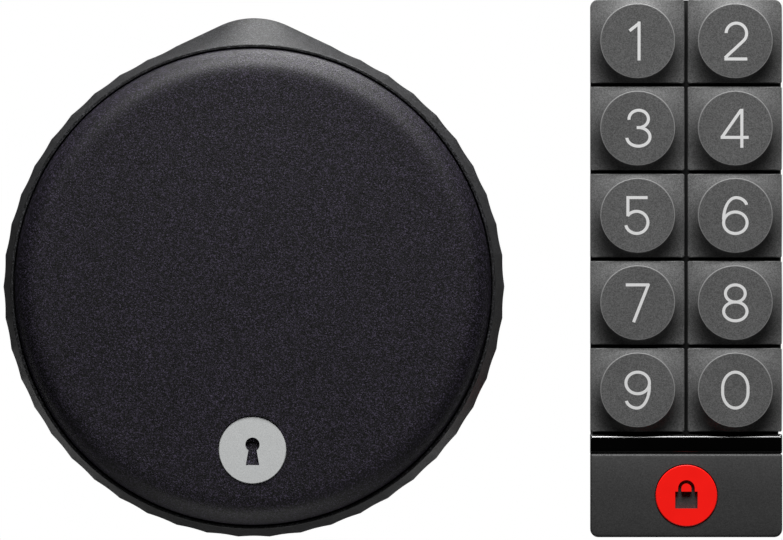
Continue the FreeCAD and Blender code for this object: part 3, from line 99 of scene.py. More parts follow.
middle = (0.02, -0.03, 0.0)
soft_box("key_left", (-0.025, -0.45, 0.78), middle, 0.22, 0.45, 7.7)
soft_box("key_right", (0.213, -0.45, 0.78), middle, 0.22, 0.45, 5.4)
soft_box("rim_left", (-0.021, 0.26, 0.72), middle, 0.20, 0.25, 2.2)
soft_box("rim_right", (0.201, 0.26, 0.72), middle, 0.20, 0.25, 2.5)
soft_box("low_left", (-0.38, 0.42, -0.26), middle, 0.35, 0.25, 0.22)
soft_box("low_right", (0.42, 0.42, -0.26), middle, 0.35, 0.25, 0.30)
lock_fill = soft_box("lock_fill", (-0.02, -0.32, -0.78), middle, 0.4, 0.3, 1.4)
soft_box("back_fill", (0.02, 1.5, 0.2), middle, 1.2, 0.8, 0.4)


def add_node(tree, kind, inputs=None, **settings):
    """Add a node. inputs maps an input's name or number to a value or to a socket to link."""
    made = tree.nodes.new(kind)
    for key, value in settings.items():
        setattr(made, key, value)
    for key, value in (inputs or {}).items():
        if isinstance(value, bpy.types.NodeSocket):
            tree.links.new(value, made.inputs[key])
        else:
            made.inputs[key].default_value = value
    return made


backdrop = bpy.data.worlds.new("white_backdrop")
backdrop.use_nodes = True
backdrop.node_tree.nodes.clear()
seen = add_node(backdrop.node_tree, "ShaderNodeLightPath")
dim = add_node(backdrop.node_tree, "ShaderNodeBackground", {"Color": (1, 1, 1, 1), "Strength": 0.012})
white = add_node(backdrop.node_tree, "ShaderNodeBackground", {"Color": (1, 1, 1, 1), "Strength": 1.0})
both = add_node(backdrop.node_tree, "ShaderNodeMixShader",
                {0: seen.outputs["Is Camera Ray"], 1: dim.outputs[0], 2: white.outputs[0]})
add_node(backdrop.node_tree, "ShaderNodeOutputWorld", {"Surface": both.outputs[0]})
scene.world = backdrop


def linear(code):
    """An sRGB hex colour as linear red, green, blue and alpha."""
    parts = [int(code[i:i + 2], 16) / 255 for i in (1, 3, 5)]
    return tuple(c / 12.92 if c <= 0.04045 else ((c + 0.055) / 1.055) ** 2.4 for c in parts) + (1.0,)


def new_material(name):
    """An empty material, its node tree, and the place on the object that its pattern follows."""
    material = bpy.data.materials.new(name)
    material.use_nodes = True
    tree = material.node_tree
    tree.nodes.clear()
    return material, tree, add_node(tree, "ShaderNodeTexCoord")


def piece(name, mesh, body, material, replaced=()):
    """Put a finished mesh in the scene, on its CAD body, in place of CAD nodes."""
    made = bpy.data.objects.new(name, mesh)
    scene.collection.objects.link(made)
    mesh.materials.clear()
    mesh.materials.append(material)
    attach(made, body)
    if replaced:
        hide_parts(*replaced)
    return made


def smooth_mesh(name, verts, faces, sharp_degrees=32.0):
    """A closed mesh with outward normals, smooth except across sharp edges."""
    mesh = bpy.data.meshes.new(name)
    mesh.from_pydata([tuple(v) for v in verts], [], faces)
    work = bmesh.new()
    work.from_mesh(mesh)
    bmesh.ops.remove_doubles(work, verts=work.verts, dist=1e-7)
    bmesh.ops.recalc_face_normals(work, faces=work.faces)
    work.to_mesh(mesh)
    work.free()
    mesh.shade_smooth()
    mesh.set_sharp_from_angle(angle=math.radians(sharp_degrees))
    return mesh


# The floor is matt white card, well below the lock, so that it only shows from above.
floor_half, floor_front, floor_back, floor_drop = 0.55, -0.25, 0.75, 0.9
floor_mesh = bpy.data.meshes.new("card_floor")
floor_mesh.from_pydata([(x, y, -floor_drop) for x, y in
                        ((-floor_half, floor_front), (floor_half, floor_front),
                         (floor_half, floor_back), (-floor_half, floor_back))],
                       [], [(0, 1, 2, 3)])
card = bpy.data.materials.new("white_card")
card.use_nodes = True
card.node_tree.nodes.clear()
card_shader = add_node(card.node_tree, "ShaderNodeBsdfPrincipled",
                       {"Base Color": linear("#D9D9D7"), "Roughness": 0.85})
add_node(card.node_tree, "ShaderNodeOutputMaterial", {"Surface": card_shader.outputs[0]})
floor_mesh.materials.append(card)
floor = bpy.data.objects.new("card_floor", floor_mesh)
scene.collection.objects.link(floor)


# ---- Turning grip -------------------------------------------------------------------------
# The barrel is the part that a hand turns: die-cast, fluted all round with a pointer bump
# on top, and finished in a matt black lacquer whose fine speckle catches the light.
barrel_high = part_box("barrel")[1]
face_low, face_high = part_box("faceplate")


def speckled_lacquer(name, dark, light, speck_mm, rarity, roughness, grain_depth_mm, painted_rim_colour=None):
    """Matt lacquer with specks: each grain has its own tone and stands slightly proud.
    Where a mesh marks a thin edge ring, the coat is lightened there to the given colour: a painted
    highlight."""
    material, tree, place = new_material(name)
    grains = add_node(tree, "ShaderNodeTexVoronoi",
                      {"Vector": place.outputs["Object"], "Scale": 1 / (speck_mm * MM)})
    dust = add_node(tree, "ShaderNodeTexNoise",
                    {"Vector": place.outputs["Object"], "Scale": 1 / (1.6 * speck_mm * MM),
                     "Detail": 2.0, "Roughness": 0.7})
    clouds = add_node(tree, "ShaderNodeTexNoise",
                      {"Vector": place.outputs["Object"], "Scale": 1 / (9.0 * MM), "Detail": 2.0})
    one_tone = add_node(tree, "ShaderNodeSeparateColor", {0: grains.outputs["Color"]})
    few_bright = add_node(tree, "ShaderNodeMath", {0: one_tone.outputs[0], 1: rarity},
                          operation="POWER")
    drift = add_node(tree, "ShaderNodeMapRange",
                     {"Value": clouds.outputs["Fac"], "From Min": 0.3, "From Max": 0.7,
                      "To Min": 0.92, "To Max": 1.08})
    colour = add_node(tree, "ShaderNodeMix",
                      {0: few_bright.outputs[0], 6: linear(dark), 7: linear(light)},
                      data_type="RGBA")
    tint = add_node(tree, "ShaderNodeVectorMath",
                    {0: colour.outputs[2], 1: drift.outputs[0]}, operation="MULTIPLY")
    base = tint.outputs[0]
    # Painted highlight: along the marked ring the coat is lightened, standing in for light caught by the
    # edge.
    if painted_rim_colour:
        painted_rim_highlight = add_node(tree, "ShaderNodeAttribute", attribute_name="painted_rim_highlight")
        base = add_node(tree, "ShaderNodeMix",
                        {0: painted_rim_highlight.outputs["Fac"], 6: tint.outputs[0], 7: linear(painted_rim_colour)},
                        data_type="RGBA").outputs[2]
    sheen = add_node(tree, "ShaderNodeMapRange",
                     {"Value": one_tone.outputs[1], "To Min": roughness + 0.08,
                      "To Max": roughness - 0.08})
    bump = add_node(tree, "ShaderNodeBump",
                    {"Height": dust.outputs["Fac"], "Strength": 1.0,
                     "Distance": grain_depth_mm * MM})
    shader = add_node(tree, "ShaderNodeBsdfPrincipled",
                      {"Base Color": base, "Roughness": sheen.outputs[0],
                       "IOR": 1.46, "Normal": bump.outputs[0]})
    add_node(tree, "ShaderNodeOutputMaterial", {"Surface": shader.outputs[0]})
    return material


grip_lacquer = speckled_lacquer("matt_black_grip_lacquer", "#010101", "#505054", 0.13, 4.0, 0.50, 0.035)

ridge_radius, lip_radius, rebate_radius, bore_radius = 35.5, 34.1, 33.8, 33.0
shoulder_depth, lip_depth, seat_depth = 58.0, 66.4, 64.2
grip_rear = -barrel_high.y / MM
rear_radius = barrel_high.x / MM
flutes_per_turn, flute_depth = 50, 0.17
bump_half_width, crest_radius = 3.5, 11.3     # half width counted in flutes
columns_per_flute = 16


def lathe(profile, columns, name, phase=0.0):
    """Turn a closed profile of (radius, depth) points, in millimetres, about the lock's axis."""
    verts, faces = [], []
    for i in range(columns):
        a = phase + 2 * math.pi * i / columns
        for radius, depth in profile:
            verts.append((radius * math.sin(a) * MM, -depth * MM, radius * math.cos(a) * MM))
    rows = len(profile)
    for i in range(columns):
        j = (i + 1) % columns
        for k in range(rows):
            n = (k + 1) % rows
            faces.append((i * rows + k, i * rows + n, j * rows + n, j * rows + k))
    return smooth_mesh(name, verts, faces)


def line_rows(start, end, count):
    """Points from start up to, but not including, end."""
    return [(start[0] + (end[0] - start[0]) * i / count,
             start[1] + (end[1] - start[1]) * i / count) for i in range(count)]


soft = 0.25             # half the width of the softened front shoulder
rear_round = 0.6        # chamfer at the barrel's rear edge
slim = 0.08             # the lip is this much thicker inwards, so that the groove reads as a line
grip_profile = (
    line_rows((rear_radius - rear_round, grip_rear), (rear_radius, grip_rear + rear_round), 3)
    + line_rows((rear_radius, grip_rear + rear_round),
                (ridge_radius + 0.01, shoulder_depth - soft), 8)
    + line_rows((ridge_radius, shoulder_depth - soft),
                (ridge_radius - 0.05, shoulder_depth + soft), 2)
    + line_rows((ridge_radius - 0.05, shoulder_depth + soft),
                (lip_radius + 0.02, lip_depth - 0.1), 8)
    + [(lip_radius + 0.02, lip_depth - 0.1), (lip_radius - 0.06, lip_depth),
       (rebate_radius - slim + 0.05, lip_depth), (rebate_radius - slim, lip_depth - 0.06),
       (rebate_radius - slim, seat_depth), (bore_radius, seat_depth)]
    + line_rows((bore_radius, seat_depth - 0.2), (bore_radius, grip_rear + 0.2), 4)
    + [(bore_radius, grip_rear + 0.2), (bore_radius + 0.2, grip_rear)])
plain_grip = lathe(grip_profile, flutes_per_turn * columns_per_flute, "grip")


def maths_in(tree):
    """A shorthand that adds a maths node to this tree and gives its result."""
    def maths(operation, *values):
        return add_node(tree, "ShaderNodeMath", dict(enumerate(values)),
                        operation=operation).outputs[0]
    return maths


def grip_rule():
    """Geometry nodes that press the flutes and the pointer bump into a plain round grip."""
    tree = bpy.data.node_groups.new("grip_rule", "GeometryNodeTree")
    face = tree.interface
    face.new_socket("Geometry", in_out="INPUT", socket_type="NodeSocketGeometry")
    for name in ("Flutes", "Flute depth", "Bump half width", "Crest radius", "Ridge radius",
                 "Lip radius", "Skin from radius"):
        face.new_socket(name, in_out="INPUT", socket_type="NodeSocketFloat")
    face.new_socket("Finish", in_out="INPUT", socket_type="NodeSocketMaterial")
    face.new_socket("Geometry", in_out="OUTPUT", socket_type="NodeSocketGeometry")
    given = add_node(tree, "NodeGroupInput").outputs
    maths = maths_in(tree)

    where = add_node(tree, "ShaderNodeSeparateXYZ",
                     {0: add_node(tree, "GeometryNodeInputPosition").outputs[0]}).outputs
    x, y, z = where[0], where[1], where[2]
    angle = maths("ARCTAN2", x, z)
    aside = maths("ABSOLUTE", angle)
    radius = maths("SQRT", maths("ADD", maths("MULTIPLY", x, x), maths("MULTIPLY", z, z)))
    pitch = maths("DIVIDE", 2 * math.pi, given["Flutes"])
    leave = maths("MULTIPLY", pitch, given["Bump half width"])
    reference = maths("MAXIMUM", radius, given["Ridge radius"])
    across = maths("FRACT", maths("SUBTRACT", maths("DIVIDE", angle, pitch), 0.5))
    scoop = maths("SINE", maths("MULTIPLY", across, math.pi))
    fluted = maths("SUBTRACT", reference, maths("MULTIPLY", scoop, given["Flute depth"]))
    flank = maths("DIVIDE", reference, maths("COSINE", maths("SUBTRACT", leave, aside)))
    last_scoop = maths("MULTIPLY", maths("MULTIPLY", scoop, given["Flute depth"]), 0.7)
    in_last = maths("GREATER_THAN", aside, maths("SUBTRACT", leave, pitch))
    flank = maths("SUBTRACT", flank, maths("MULTIPLY", last_scoop, in_last))
    crest = given["Crest radius"]
    height = maths("DIVIDE", maths("SUBTRACT", reference, crest), maths("COSINE", leave))
    sideways = maths("MULTIPLY", height, maths("SINE", angle))
    inside = maths("SUBTRACT", maths("MULTIPLY", crest, crest),
                   maths("MULTIPLY", sideways, sideways))
    round_top = maths("ADD", maths("MULTIPLY", height, maths("COSINE", angle)),
                      maths("SQRT", maths("MAXIMUM", inside, 0.0)))
    crest_end = maths("ARCTAN2", maths("MULTIPLY", crest, maths("SINE", leave)),
                      maths("ADD", height, maths("MULTIPLY", crest, maths("COSINE", leave))))
    on_crest = maths("LESS_THAN", aside, crest_end)
    bump = add_node(tree, "GeometryNodeSwitch", {0: on_crest, 1: flank, 2: round_top},
                    input_type="FLOAT").outputs[0]
    on_bump = maths("LESS_THAN", aside, leave)
    outline = add_node(tree, "GeometryNodeSwitch", {0: on_bump, 1: fluted, 2: bump},
                       input_type="FLOAT").outputs[0]
    fade = add_node(tree, "ShaderNodeMapRange",
                    {"Value": radius, "From Min": given["Lip radius"],
                     "From Max": given["Ridge radius"]}).outputs[0]
    on_skin = maths("GREATER_THAN", radius, given["Skin from radius"])
    push = maths("MULTIPLY", maths("MULTIPLY", maths("SUBTRACT", outline, reference), fade),
                 on_skin)
    share = maths("DIVIDE", maths("ADD", radius, push), radius)
    moved = add_node(tree, "ShaderNodeCombineXYZ",
                     {0: maths("MULTIPLY", x, share), 1: y, 2: maths("MULTIPLY", z, share)})
    shaped = add_node(tree, "GeometryNodeSetPosition",
                      {"Geometry": given["Geometry"], "Position": moved.outputs[0]})
    plain = add_node(tree, "GeometryNodeRealizeInstances", {0: shaped.outputs[0]})
    coated = add_node(tree, "GeometryNodeSetMaterial",
                      {"Geometry": plain.outputs[0], "Material": given["Finish"]})
    add_node(tree, "NodeGroupOutput", {0: coated.outputs[0]})
    return tree


def baked(start_mesh, tree, values):
    """Run a geometry tree on a mesh and return the plain mesh that it makes."""
    carrier = bpy.data.objects.new("carrier", start_mesh)
    scene.collection.objects.link(carrier)
    modifier = carrier.modifiers.new("tree", "NODES")
    modifier.node_group = tree
    for item in tree.interface.items_tree:
        if item.in_out == "INPUT" and item.name in values:
            modifier[item.identifier] = values[item.name]
    graph = bpy.context.evaluated_depsgraph_get()
    made = bpy.data.meshes.new_from_object(carrier.evaluated_get(graph))
    carrier.modifiers.remove(modifier)
    bpy.data.objects.remove(carrier)
    return made


grip_mesh = baked(plain_grip, grip_rule(), {
    "Flutes": float(flutes_per_turn), "Flute depth": flute_depth * MM,
    "Bump half width": bump_half_width, "Crest radius": crest_radius * MM,
    "Ridge radius": ridge_radius * MM, "Lip radius": lip_radius * MM,
    "Skin from radius": (lip_radius - 0.01) * MM, "Finish": grip_lacquer})
grip_mesh.shade_smooth()
grip_mesh.set_sharp_from_angle(angle=math.radians(24))
piece("turning_grip", grip_mesh, "rotor", grip_lacquer, ["barrel"])


# ---- Faceplate ----------------------------------------------------------------------------
# The battery cover is a shallow moulded dome held by magnets. It has the same soft matt
# coat as the grip, a shade finer, and a round pocket for the badge.
face_coat = speckled_lacquer("matt_black_face_coat", "#000000", "#463F52", 0.12, 4.0, 0.53, 0.05)
face_radius = face_high.x / MM + 0.05      # and the cover is this much wider
face_top = -face_low.y / MM
face_skirt = -face_high.y / MM
face_wall, crown_fall, edge_width, edge_fall = 1.8, 0.55, 5.15, 2.95
edge_thinning = 0.6     # the wall is thicker by this under the rounded edge


def dome_rows(radius, top, width, fall):
    """Half a dome's section: a gentle crown out to a knee, then a roll down to the rim that
    steepens all the way."""
    knee = radius - width
    crown = (knee ** 2 + crown_fall ** 2) / (2 * crown_fall)
    slope = math.asin(knee / crown)
    rows = []
    for i in range(15):
        a = slope * i / 14
        rows.append((crown * math.sin(a), top - crown * (1 - math.cos(a))))
    lean = width * math.tan(slope)
    for i in range(1, 25):
        u = i / 24
        rows.append((knee + width * u, top - crown_fall - lean * u - (fall - lean) * u ** 4))
    return rows


outer_rows = dome_rows(face_radius, face_top, edge_width, edge_fall)
inner_rows = dome_rows(face_radius - face_wall, face_top - face_wall, edge_width - edge_thinning,
                       edge_fall - edge_thinning)
face_profile = (outer_rows + [(face_radius, face_skirt + 0.1), (face_radius - 0.1, face_skirt),
                              (face_radius - face_wall, face_skirt)] + inner_rows[::-1])
face_profile[0] = (0.0005, face_profile[0][1])
face_profile[-1] = (0.0005, face_profile[-1][1])


def solid_dome(profile, columns, name):
    """Turn a profile that starts and ends on the axis; both poles close on one point."""
    verts, faces = [], []
    inner = profile[1:-1]
    for i in range(columns):
        a = 2 * math.pi * i / columns
        for radius, depth in inner:
            verts.append((radius * math.sin(a) * MM, -depth * MM, radius * math.cos(a) * MM))
    rows = len(inner)
    first = len(verts)
    verts += [(0, -profile[0][1] * MM, 0), (0, -profile[-1][1] * MM, 0)]
    for i in range(columns):
        j = (i + 1) % columns
        for k in range(rows - 1):
            faces.append((i * rows + k, i * rows + k + 1, j * rows + k + 1, j * rows + k))
        faces.append((first, i * rows, j * rows))
        faces.append((first + 1, j * rows + rows - 1, i * rows + rows - 1))
    return smooth_mesh(name, verts, faces)


def cut_round(mesh, centre, radius, near, far, sharp=30.0):
    """Cut a round pocket from a mesh, between two depths. All in millimetres."""
    cutter_mesh = bpy.data.meshes.new("cutter")
    work = bmesh.new()
    bmesh.ops.create_cone(work, cap_ends=True, segments=96, radius1=radius * MM,
                          radius2=radius * MM, depth=(far - near) * MM)
    bmesh.ops.rotate(work, verts=work.verts, cent=(0, 0, 0),
                     matrix=Matrix.Rotation(math.radians(90), 3, "X"))
    bmesh.ops.translate(work, verts=work.verts,
                        vec=(centre[0] * MM, -(near + far) / 2 * MM, centre[1] * MM))
    work.to_mesh(cutter_mesh)
    work.free()
    cutter = bpy.data.objects.new("cutter", cutter_mesh)
    target = bpy.data.objects.new("target", mesh)
    for thing in (cutter, target):
        scene.collection.objects.link(thing)
    cut = target.modifiers.new("cut", "BOOLEAN")
    cut.operation, cut.solver, cut.object = "DIFFERENCE", "EXACT", cutter
    graph = bpy.context.evaluated_depsgraph_get()
    made = bpy.data.meshes.new_from_object(target.evaluated_get(graph))
    for thing in (cutter, target):
        bpy.data.objects.remove(thing)
    made.shade_smooth()
    made.set_sharp_from_angle(angle=math.radians(sharp))
    return made


badge_low, badge_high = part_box("face_badge")
badge_middle = ((badge_low + badge_high) / 2) / MM
badge_radius = (badge_high.x - badge_low.x) / 2 / MM
pocket_gap = 0.08
face_mesh = solid_dome(face_profile, 256, "faceplate_dome")
face_mesh = cut_round(face_mesh, (badge_middle.x, badge_middle.z), badge_radius + pocket_gap,
                      -badge_high.y / MM, face_top + 1)
piece("faceplate_cover", face_mesh, "face", face_coat, ["faceplate"])


# ---- Badges ---------------------------------------------------------------------------------
# Two plain inlaid discs. The lock's is satin nickel, turned and blasted, and pierced with a
# keyhole. The keypad's is brass under fired red enamel, pierced with a padlock, and given a faint painted
# glow.
def satin_metal(name, code, roughness, grain_mm, metal=1.0):
    """Blasted metal: an even satin with a faint cloud and a fine bead-blast bump."""
    material, tree, place = new_material(name)
    blast = add_node(tree, "ShaderNodeTexNoise",
                     {"Vector": place.outputs["Object"], "Scale": 1 / (grain_mm * MM), "Detail": 2.0})
    tone = add_node(tree, "ShaderNodeMapRange",
                    {"Value": blast.outputs["Fac"], "From Min": 0.3, "From Max": 0.7,
                     "To Min": 0.93, "To Max": 1.03})
    colour = add_node(tree, "ShaderNodeVectorMath", {0: linear(code)[:3], 1: tone.outputs[0]},
                      operation="MULTIPLY")
    rough = add_node(tree, "ShaderNodeMapRange",
                     {"Value": blast.outputs["Fac"], "From Min": 0.3, "From Max": 0.7,
                      "To Min": roughness - 0.05, "To Max": roughness + 0.05})
    bump = add_node(tree, "ShaderNodeBump", {"Height": blast.outputs["Fac"], "Strength": 0.3,
                                             "Distance": 0.01 * MM})
    shader = add_node(tree, "ShaderNodeBsdfPrincipled",
                      {"Base Color": colour.outputs[0], "Metallic": metal,
                       "Roughness": rough.outputs[0], "Normal": bump.outputs[0]})
    add_node(tree, "ShaderNodeOutputMaterial", {"Surface": shader.outputs[0]})
    return material


def coat_node(name, material):
    """Give a CAD node that is shown as it is a better material."""
    mesh_slots = nodes[name].material_slots
    for slot in mesh_slots:
        slot.link = "OBJECT"
        slot.material = material


satin_nickel = satin_metal("satin_nickel", "#FCFEFE", 0.62, 0.08, 0.8)
coat_node("face_badge", satin_nickel)


def enamel(name, code, deep_code):
    """Fired enamel: an even deep colour, slightly darker where it pools, under clear gloss, with a painted
    glow: it gives off a little of its own colour, though no lamp is inside.
    """
    material, tree, place = new_material(name)
    pool = add_node(tree, "ShaderNodeTexNoise",
                    {"Vector": place.outputs["Object"], "Scale": 1 / (3.0 * MM), "Detail": 1.0})
    colour = add_node(tree, "ShaderNodeMix",
                      {0: pool.outputs["Fac"], 6: linear(code), 7: linear(deep_code)},
                      data_type="RGBA")
    flow = add_node(tree, "ShaderNodeBump", {"Height": pool.outputs["Fac"], "Strength": 0.1,
                                             "Distance": 0.05 * MM})
    # The emission is a painted glow; the badge has no lamp behind it.
    shader = add_node(tree, "ShaderNodeBsdfPrincipled",
                      {"Base Color": colour.outputs[2], "Roughness": 0.35, "IOR": 1.5,
                       "Emission Color": linear(code), "Emission Strength": 0.2,
                       "Normal": flow.outputs[0]})
    add_node(tree, "ShaderNodeOutputMaterial", {"Surface": shader.outputs[0]})
    return material


coat_node("button_badge", enamel("red_enamel", "#FF1A12", "#F0140C"))


# ---- Keys -----------------------------------------------------------------------------------
# Ten caps moulded in dark grey ABS with a fine spark texture. Each has a square foot whose
# flanks sweep up to a round, flat top, and a digit filled with pale clear resin.
# The last colour is a painted highlight: the thin light ring round each cap's round top.
key_abs = speckled_lacquer("spark_textured_key_abs", "#484848", "#6A6A6A", 0.13, 1.0, 0.58, 0.02, "#888888")


def legend_resin():
    """Pale translucent resin in the engraved digits; it looks an even light grey."""
    material, tree, place = new_material("pale_legend_resin")
    cast = add_node(tree, "ShaderNodeTexNoise",
                    {"Vector": place.outputs["Object"], "Scale": 1 / (0.4 * MM), "Detail": 1.0})
    colour = add_node(tree, "ShaderNodeMix",
                      {0: cast.outputs["Fac"], 6: linear("#E4E4E4"), 7: linear("#EEEEEE")},
                      data_type="RGBA")
    shader = add_node(tree, "ShaderNodeBsdfPrincipled",
                      {"Base Color": colour.outputs[2], "Roughness": 0.5, "IOR": 1.49})
    add_node(tree, "ShaderNodeOutputMaterial", {"Surface": shader.outputs[0]})
    return material


legend = legend_resin()
crown_radius, crown_edge, key_foot, stem_reach = 5.5, 0.12, 0.5, 0.25
bevel_in, bevel_down, crowding = 0.05, 0.06, 1.4      # the foot's edge, and rows closer by the crown
small_corner, case_corner = 0.25, 1.15


def rounded_outline(half_width, half_height, radii, arc_points=7, side_points=12):
    """Points round a rectangle whose four corners have their own radii, anticlockwise from
    the upper right corner's arc."""
    signs = ((1, 1), (-1, 1), (-1, -1), (1, -1))
    points = []
    for i, ((sx, sz), radius) in enumerate(zip(signs, radii)):
        cx, cz = sx * (half_width - radius), sz * (half_height - radius)
        start = math.pi / 2 * i
        for k in range(arc_points):
            a = start + math.pi / 2 * k / (arc_points - 1)
            points.append((cx + radius * math.cos(a), cz + radius * math.sin(a)))
        nx, nz = signs[(i + 1) % 4]
        after = radii[(i + 1) % 4]
        end = (nx * (half_width - after) + after * math.cos(start + math.pi / 2),
               nz * (half_height - after) + after * math.sin(start + math.pi / 2))
        last = points[-1]
        for k in range(1, side_points):
            t = k / side_points
            points.append((last[0] + (end[0] - last[0]) * t, last[1] + (end[1] - last[1]) * t))
    return points


def stacked(rings, name, sharp=30.0):
    """A closed solid through rings of (x, depth, z) points, capped by fans at both ends."""
    count = len(rings[0])
    verts, faces = [], []
    for loop in rings:
        verts += [(x * MM, -d * MM, z * MM) for x, d, z in loop]
    for r in range(len(rings) - 1):
        for i in range(count):
            j = (i + 1) % count
            faces.append((r * count + i, r * count + j, (r + 1) * count + j, (r + 1) * count + i))
    for r in (0, len(rings) - 1):
        centre = Vector((0, 0, 0))
        for i in range(count):
            centre += Vector(verts[r * count + i])
        verts.append(tuple(centre / count))
        hub = len(verts) - 1
        for i in range(count):
            j = (i + 1) % count
            faces.append((r * count + i, r * count + j, hub))
    return smooth_mesh(name, verts, faces, sharp)


def key_cap(digit):
    """One cap, from its CAD node's box: a round table whose flank sweeps down and out, cut
    square at the foot."""
    low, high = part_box("key_%d" % digit)
    low, high = low / MM, high / MM
    cx, cz = (low.x + high.x) / 2, (low.z + high.z) / 2
    half_width, half_height = (high.x - low.x) / 2, (high.z - low.z) / 2
    table, bottom = -low.y, -high.y + stem_reach
    radii = {1: (small_corner, case_corner, small_corner, small_corner),
             2: (case_corner, small_corner, small_corner, small_corner)}
    outline = rounded_outline(half_width, half_height, radii.get(digit, (small_corner,) * 4))
    bearings = [(math.atan2(z, x), math.hypot(x, z)) for x, z in outline]
    far = math.hypot(half_width, half_height)
    flank_top, foot = table - crown_edge, bottom + key_foot
    drop, reach = flank_top - foot, far - crown_radius
    sweep = (reach ** 2 + drop ** 2) / (2 * drop)

    def flank(radius):
        return foot + sweep - math.sqrt(sweep ** 2 - min(far - radius, sweep) ** 2)

    rings = [[(cx + x, bottom, cz + z) for x, z in outline],
             [(cx + r * math.cos(a), flank(r) - bevel_down, cz + r * math.sin(a)) for a, r in bearings]]
    for step in range(19):
        t = (1 - step / 18) ** crowding
        ring = []
        for a, r in bearings:
            radius = crown_radius + (r - bevel_in - crown_radius) * t
            ring.append((cx + radius * math.cos(a), flank(radius), cz + radius * math.sin(a)))
        rings.append(ring)
    for k in range(1, 5):
        turn = math.pi / 2 * k / 4
        radius = crown_radius - crown_edge * (1 - math.cos(turn))
        rings.append([(cx + radius * math.cos(a), flank_top + crown_edge * math.sin(turn),
                       cz + radius * math.sin(a)) for a, _ in bearings])
    for radius in (crown_radius - crown_edge - 0.04, crown_radius / 2):
        rings.append([(cx + radius * math.cos(a), table, cz + radius * math.sin(a))
                      for a, _ in bearings])
    mesh = stacked(rings, "key_cap_%d" % digit, 50.0)
    # Painted highlight: the vertices on the top's rounded edge are marked, and the caps' material lightens
    # them there.
    painted_rim_highlight = mesh.attributes.new("painted_rim_highlight", "FLOAT", "POINT")
    for i, vert in enumerate(mesh.vertices):
        out = math.hypot(vert.co.x / MM - cx, vert.co.z / MM - cz)
        on_edge = abs(out - crown_radius + crown_edge / 2) < crown_edge * 0.52
        painted_rim_highlight.data[i].value = 1.0 if on_edge and -vert.co.y / MM > flank_top - 0.02 else 0.0
    return mesh


engraving, resin_drop = 0.12, 0.012      # the resin stops just below the key's top


def digit_fill(digit):
    """The resin in one digit, cast in the engraving of its CAD key."""
    name = "key_%d" % digit
    low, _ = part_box(name)
    floor_y = low.y + engraving * MM
    work = bmesh.new()
    work.from_mesh(nodes[name].data)
    bmesh.ops.remove_doubles(work, verts=work.verts, dist=1e-7)
    away = [v for v in work.verts if abs(v.co.y - floor_y) > 2e-6]
    bmesh.ops.delete(work, geom=away, context="VERTS")
    loose = [v for v in work.verts if not v.link_faces]
    bmesh.ops.delete(work, geom=loose, context="VERTS")
    raised = bmesh.ops.extrude_face_region(work, geom=list(work.faces))
    lifted = [v for v in raised["geom"] if isinstance(v, bmesh.types.BMVert)]
    for vert in lifted:
        vert.co.y = low.y - resin_drop * MM
    bmesh.ops.recalc_face_normals(work, faces=work.faces)
    mesh = bpy.data.meshes.new("digit_%d" % digit)
    work.to_mesh(mesh)
    work.free()
    return mesh


for number in range(10):
    body = "key_%d" % number
    piece("cap_%d" % number, key_cap(number), body, key_abs, ["key_%d" % number])
    piece("legend_%d" % number, digit_fill(number), body, legend)


# ---- Gloss strip ----------------------------------------------------------------------------
# A bar of polished black polycarbonate with rounded long edges, set a little behind the keys,
# between them and the lock button; the sensor and the status light shine through it.
def polished_black(name, code, roughness):
    """Polished moulding: deep black with the faintest flow lines in its surface."""
    material, tree, place = new_material(name)
    flow = add_node(tree, "ShaderNodeTexNoise",
                    {"Vector": place.outputs["Object"], "Scale": 1 / (6.0 * MM), "Detail": 1.0})
    ripple = add_node(tree, "ShaderNodeBump", {"Height": flow.outputs["Fac"], "Strength": 0.1,
                                               "Distance": 0.02 * MM})
    tone = add_node(tree, "ShaderNodeMix", {0: flow.outputs["Fac"], 6: linear(code),
                                            7: linear("#000000")}, data_type="RGBA")
    shader = add_node(tree, "ShaderNodeBsdfPrincipled",
                      {"Base Color": tone.outputs[2], "Roughness": roughness, "IOR": 1.58,
                       "Normal": ripple.outputs[0]})
    add_node(tree, "ShaderNodeOutputMaterial", {"Surface": shader.outputs[0]})
    return material


gloss = polished_black("polished_black_polycarbonate", "#030303", 0.12)
strip_low, strip_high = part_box("gloss_strip")


def strip_mesh():
    """The bar: a flat back and front, and rounded long edges; its ends are softened too."""
    low, high = strip_low / MM, strip_high / MM
    half, cz = (high.z - low.z) / 2, (high.z + low.z) / 2
    back, front, rounding, end_round = -high.y, -low.y, 0.75, 0.1
    section = [(back, half)]
    for side in (1, -1):
        arc = [(front - rounding + rounding * math.sin(a), half - rounding + rounding * math.cos(a))
               for a in [math.pi / 2 * i / 12 for i in range(13)]]
        section += arc if side > 0 else [(d, -z) for d, z in arc[::-1]]
        if side > 0:
            section += [(front, z) for z in (0.5, 0.2, -0.2, -0.5)]
    section.append((back, -half))
    rings = []
    for x, side in ((low.x, 1), (high.x, -1)):
        ends = [(x, end_round), (x + side * 0.3 * end_round, 0.3 * end_round),
                (x + side * end_round, 0.0), (x + side * 4 * end_round, 0.0)][::side]
        for place, inset in ends:
            rings.append([(place, max(back, d - inset), cz + z * (1 - inset / half))
                          for d, z in section])
    return stacked(rings, "strip", 35.0)


piece("sensor_strip", strip_mesh(), "keypad", gloss, ["gloss_strip"])


# ---- Lock button ------------------------------------------------------------------------------
# The wide button below the strip, pressed to lock the door. It is the keys' material, left
# darker and smoother, with a softly rounded edge all round and a pocket for the badge.
button_abs = speckled_lacquer("fine_textured_button_abs", "#303030", "#3E3E3E", 0.13, 1.0, 0.55,
                              0.008)
button_low, button_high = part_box("lock_button")


